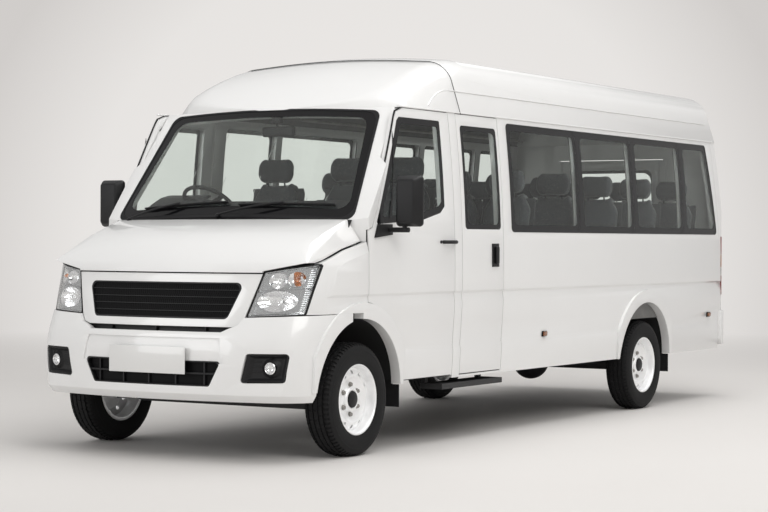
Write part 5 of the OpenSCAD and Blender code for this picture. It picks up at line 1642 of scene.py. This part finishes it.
    def lining(self):
        """Head lining under the roof and linings along the walls, in a grey darkened with painted shade."""
        fresh()
        rows = 46
        bpy.ops.mesh.primitive_grid_add(x_subdivisions=26, y_subdivisions=rows, size=1)
        roof = named("head_lining")
        x0, x1 = XF - 0.86, X_TAIL + 0.125
        for vertex in roof.data.vertices:
            u, v = vertex.co.x + 0.5, vertex.co.y + 0.5
            x = x0 + (x1 - x0) * u
            half = roof_section(x, -0.050)
            half[0] = (half[0][0] - 0.050, half[0][1] + 0.02)
            line = half + [(-y, z) for y, z in reversed(half[:-1])]
            t = v * (len(line) - 1)
            k = min(int(t), len(line) - 2)
            p = Vector(line[k]).lerp(Vector(line[k + 1]), t - k)
            vertex.co = (x, p.x, p.y)
        modify(roof, "SOLIDIFY", thickness=0.003, offset=0)
        place(smooth(outward(roof), 50), "lining", "body", "dash_plastic")
        walls = []
        for name, front, z0, z1, flip in (
                ("left", X_ENTRY1 - 0.06, 0.72, 1.372, False), ("right", X_DOOR1 - 0.07, 0.72, 1.372, True),
                ("left_top", X_ENTRY1 - 0.06, 2.172, 2.205, False),
                ("right_top", X_DOOR1 - 0.07, 2.172, 2.205, True)):
            sheet = sheet_on(f"wall_lining_{name}", oblong((front, z0), (X_TAIL + 0.14, z1)),
                             lambda x, z, d: on_left(x, z, 0.044 + d), 0.003, 24, 6)
            walls.append(twin(sheet, sheet.name + "_b", FLIP_Y) if flip else sheet)
            if flip:
                bpy.data.objects.remove(sheet)
        for i in range(1, 4):
            x = pane_x(i)
            strip = sheet_on(f"pillar_lining_{i}", oblong((x + 0.045, 1.372), (x - 0.045, 2.172)),
                             lambda u, v, d: on_left(u, v, 0.044 + d), 0.004, 2, 10)
            walls += [strip, twin(strip, f"pillar_lining_right_{i}", FLIP_Y)]
        place(join("wall_linings", walls), "lining", "body", "dash_plastic")
        rails = []
        for side in (-1, 1):
            run = [(0.55 - 3.6 * i / 12, side * 0.80, 2.235) for i in range(13)]
            rails.append(bead(f"luggage_rail_{side}", run, 0.012))
        place(join("grab_rails", rails), "steel", "body", "exhaust_steel")

    def execute(self, context):
        self.wheel()
        self.dash()
        self.lining()
        return {"FINISHED"}


class MINIBUS_OT_rear_trim(bpy.types.Operator):
    """Tail lamps in three colours, rear door handle, hinges, blank plate, reflectors and high stop lamp"""
    bl_idname = "minibus.rear_trim"
    bl_label = "Rear trim"

    def lamp_slice(self, name, z0, z1):
        piece = cad_copy("tail_lamps", name)
        for z, clear in ((z0, "clear_inner"), (z1, "clear_outer")):
            edit(piece)
            bpy.ops.mesh.select_all(action="SELECT")
            bpy.ops.mesh.bisect(plane_co=(0, 0, z), plane_no=(0, 0, 1), use_fill=True, **{clear: True})
            done()
        return round_edges(outward(piece), 0.002, 2, 40)

    def execute(self, context):
        sections = (
            ("tail_lamp_red_low", 0.80, 1.045, "red", ("tail_lamps",)),
            ("tail_lamp_clear", 1.047, 1.115, "white_lens", ()),
            ("tail_lamp_amber", 1.117, 1.225, "amber", ()),
            ("tail_lamp_red_high", 1.227, 1.45, "red", ()),
        )
        for name, z0, z1, key, nodes in sections:
            place(self.lamp_slice(name, z0, z1), key, "body", "tail_red", nodes)
        reflectors = []
        for side in (-1, 1):
            y = side * 0.72
            reflectors.append(box("reflector", (X_TAIL - 0.0035, y - 0.06, 0.600),
                                  (X_TAIL + 0.004, y + 0.06, 0.640), 0.002))
        place(join("rear_reflectors", reflectors), "red", "body", "tail_red")
        # door furniture lies on the leaning rear wall
        pull = [box("pull_base", (-0.004, -0.43, 0.42), (0.004, -0.31, 0.56), 0.003),
                box("pull_grip", (-0.026, -0.385, 0.435), (-0.012, -0.355, 0.545), 0.006, 3),
                box("pull_arm", (-0.018, -0.382, 0.440), (0.0, -0.358, 0.458), 0.003),
                box("pull_arm", (-0.018, -0.382, 0.522), (0.0, -0.358, 0.540), 0.003)]
        turn = Matrix.Translation(TAIL_FOOT) @ Matrix.Rotation(TAIL_LEAN, 4, "Y")
        handle = join("rear_handle", pull)
        handle.data.transform(turn)
        place(handle, "trim", "rear_door", "black_trim")
        knuckles, leaves = [], []
        for z in (0.20, 0.68, 1.14):
            knuckles.append(disc("hinge_knuckle", (-0.008, 0.503, z), 0.011, 0.075, (0, 0, 1), 20, 0.002))
            leaves.append(box("hinge_leaf", (-0.005, 0.400, z - 0.032), (0.0, 0.496, z + 0.032), 0.0015))
        knuckles, leaves = join("rear_hinge_knuckles", knuckles), join("rear_hinge_leaves", leaves)
        knuckles.data.transform(turn)
        leaves.data.transform(turn)
        place(knuckles, "paint", "body", "body_paint")
        place(leaves, "paint", "rear_door", "body_paint")
        holder = box("plate_holder_rear", (-0.006, -0.135, 0.13), (0.0, 0.135, 0.32), 0.003)
        lamp_hood = box("plate_lamp", (-0.030, -0.090, 0.325), (0.0, 0.090, 0.350), 0.005)
        trimmed = join("plate_holder_rear", [holder, lamp_hood])
        trimmed.data.transform(turn)
        place(trimmed, "trim", "rear_door", "black_trim")
        blank = box("number_plate_rear", (-0.0085, -0.125, 0.138), (-0.0062, 0.125, 0.312), 0.0010)
        blank.data.transform(turn)
        place(blank, "plate", "rear_door")
        stop = box("high_stop_lamp", (-0.012, -0.14, 1.345), (0.002, 0.14, 1.372), 0.004)
        stop.data.transform(turn)
        place(stop, "red", "body", "tail_red")
        return {"FINISHED"}


class MINIBUS_PT_panel(bpy.types.Panel):
    """Sidebar panel that lists the minibus's pieces"""
    bl_idname = "MINIBUS_PT_panel"
    bl_label = "Minibus"
    bl_space_type = "VIEW_3D"
    bl_region_type = "UI"
    bl_category = "Minibus"

    def draw(self, context):
        for group in (context.scene.minibus_colours, context.scene.minibus_sizes):
            for key in group.__annotations__:
                self.layout.prop(group, key)
        for step in STEPS:
            self.layout.operator(step.bl_idname)


STEPS = (
    MINIBUS_OT_stage,
    MINIBUS_OT_panels,
    MINIBUS_OT_glazing,
    MINIBUS_OT_wheels,
    MINIBUS_OT_underbody,
    MINIBUS_OT_headlamps,
    MINIBUS_OT_grilles,
    MINIBUS_OT_wipers,
    MINIBUS_OT_outside_trim,
    MINIBUS_OT_seats,
    MINIBUS_OT_cabin,
    MINIBUS_OT_rear_trim,
)
CLASSES = (MinibusColours, MinibusSizes, *STEPS, MINIBUS_PT_panel)


def register():
    for item in CLASSES:
        bpy.utils.register_class(item)
    bpy.types.Scene.minibus_colours = bpy.props.PointerProperty(type=MinibusColours)
    bpy.types.Scene.minibus_sizes = bpy.props.PointerProperty(type=MinibusSizes)


def unregister():
    del bpy.types.Scene.minibus_sizes
    del bpy.types.Scene.minibus_colours
    for item in reversed(CLASSES):
        bpy.utils.unregister_class(item)


def main():
    register()
    make_finishes(bpy.context.scene.minibus_colours)
    for step in STEPS:
        group, name = step.bl_idname.split(".")
        getattr(getattr(bpy.ops, group), name)()


if __name__ == "__main__":
    main()
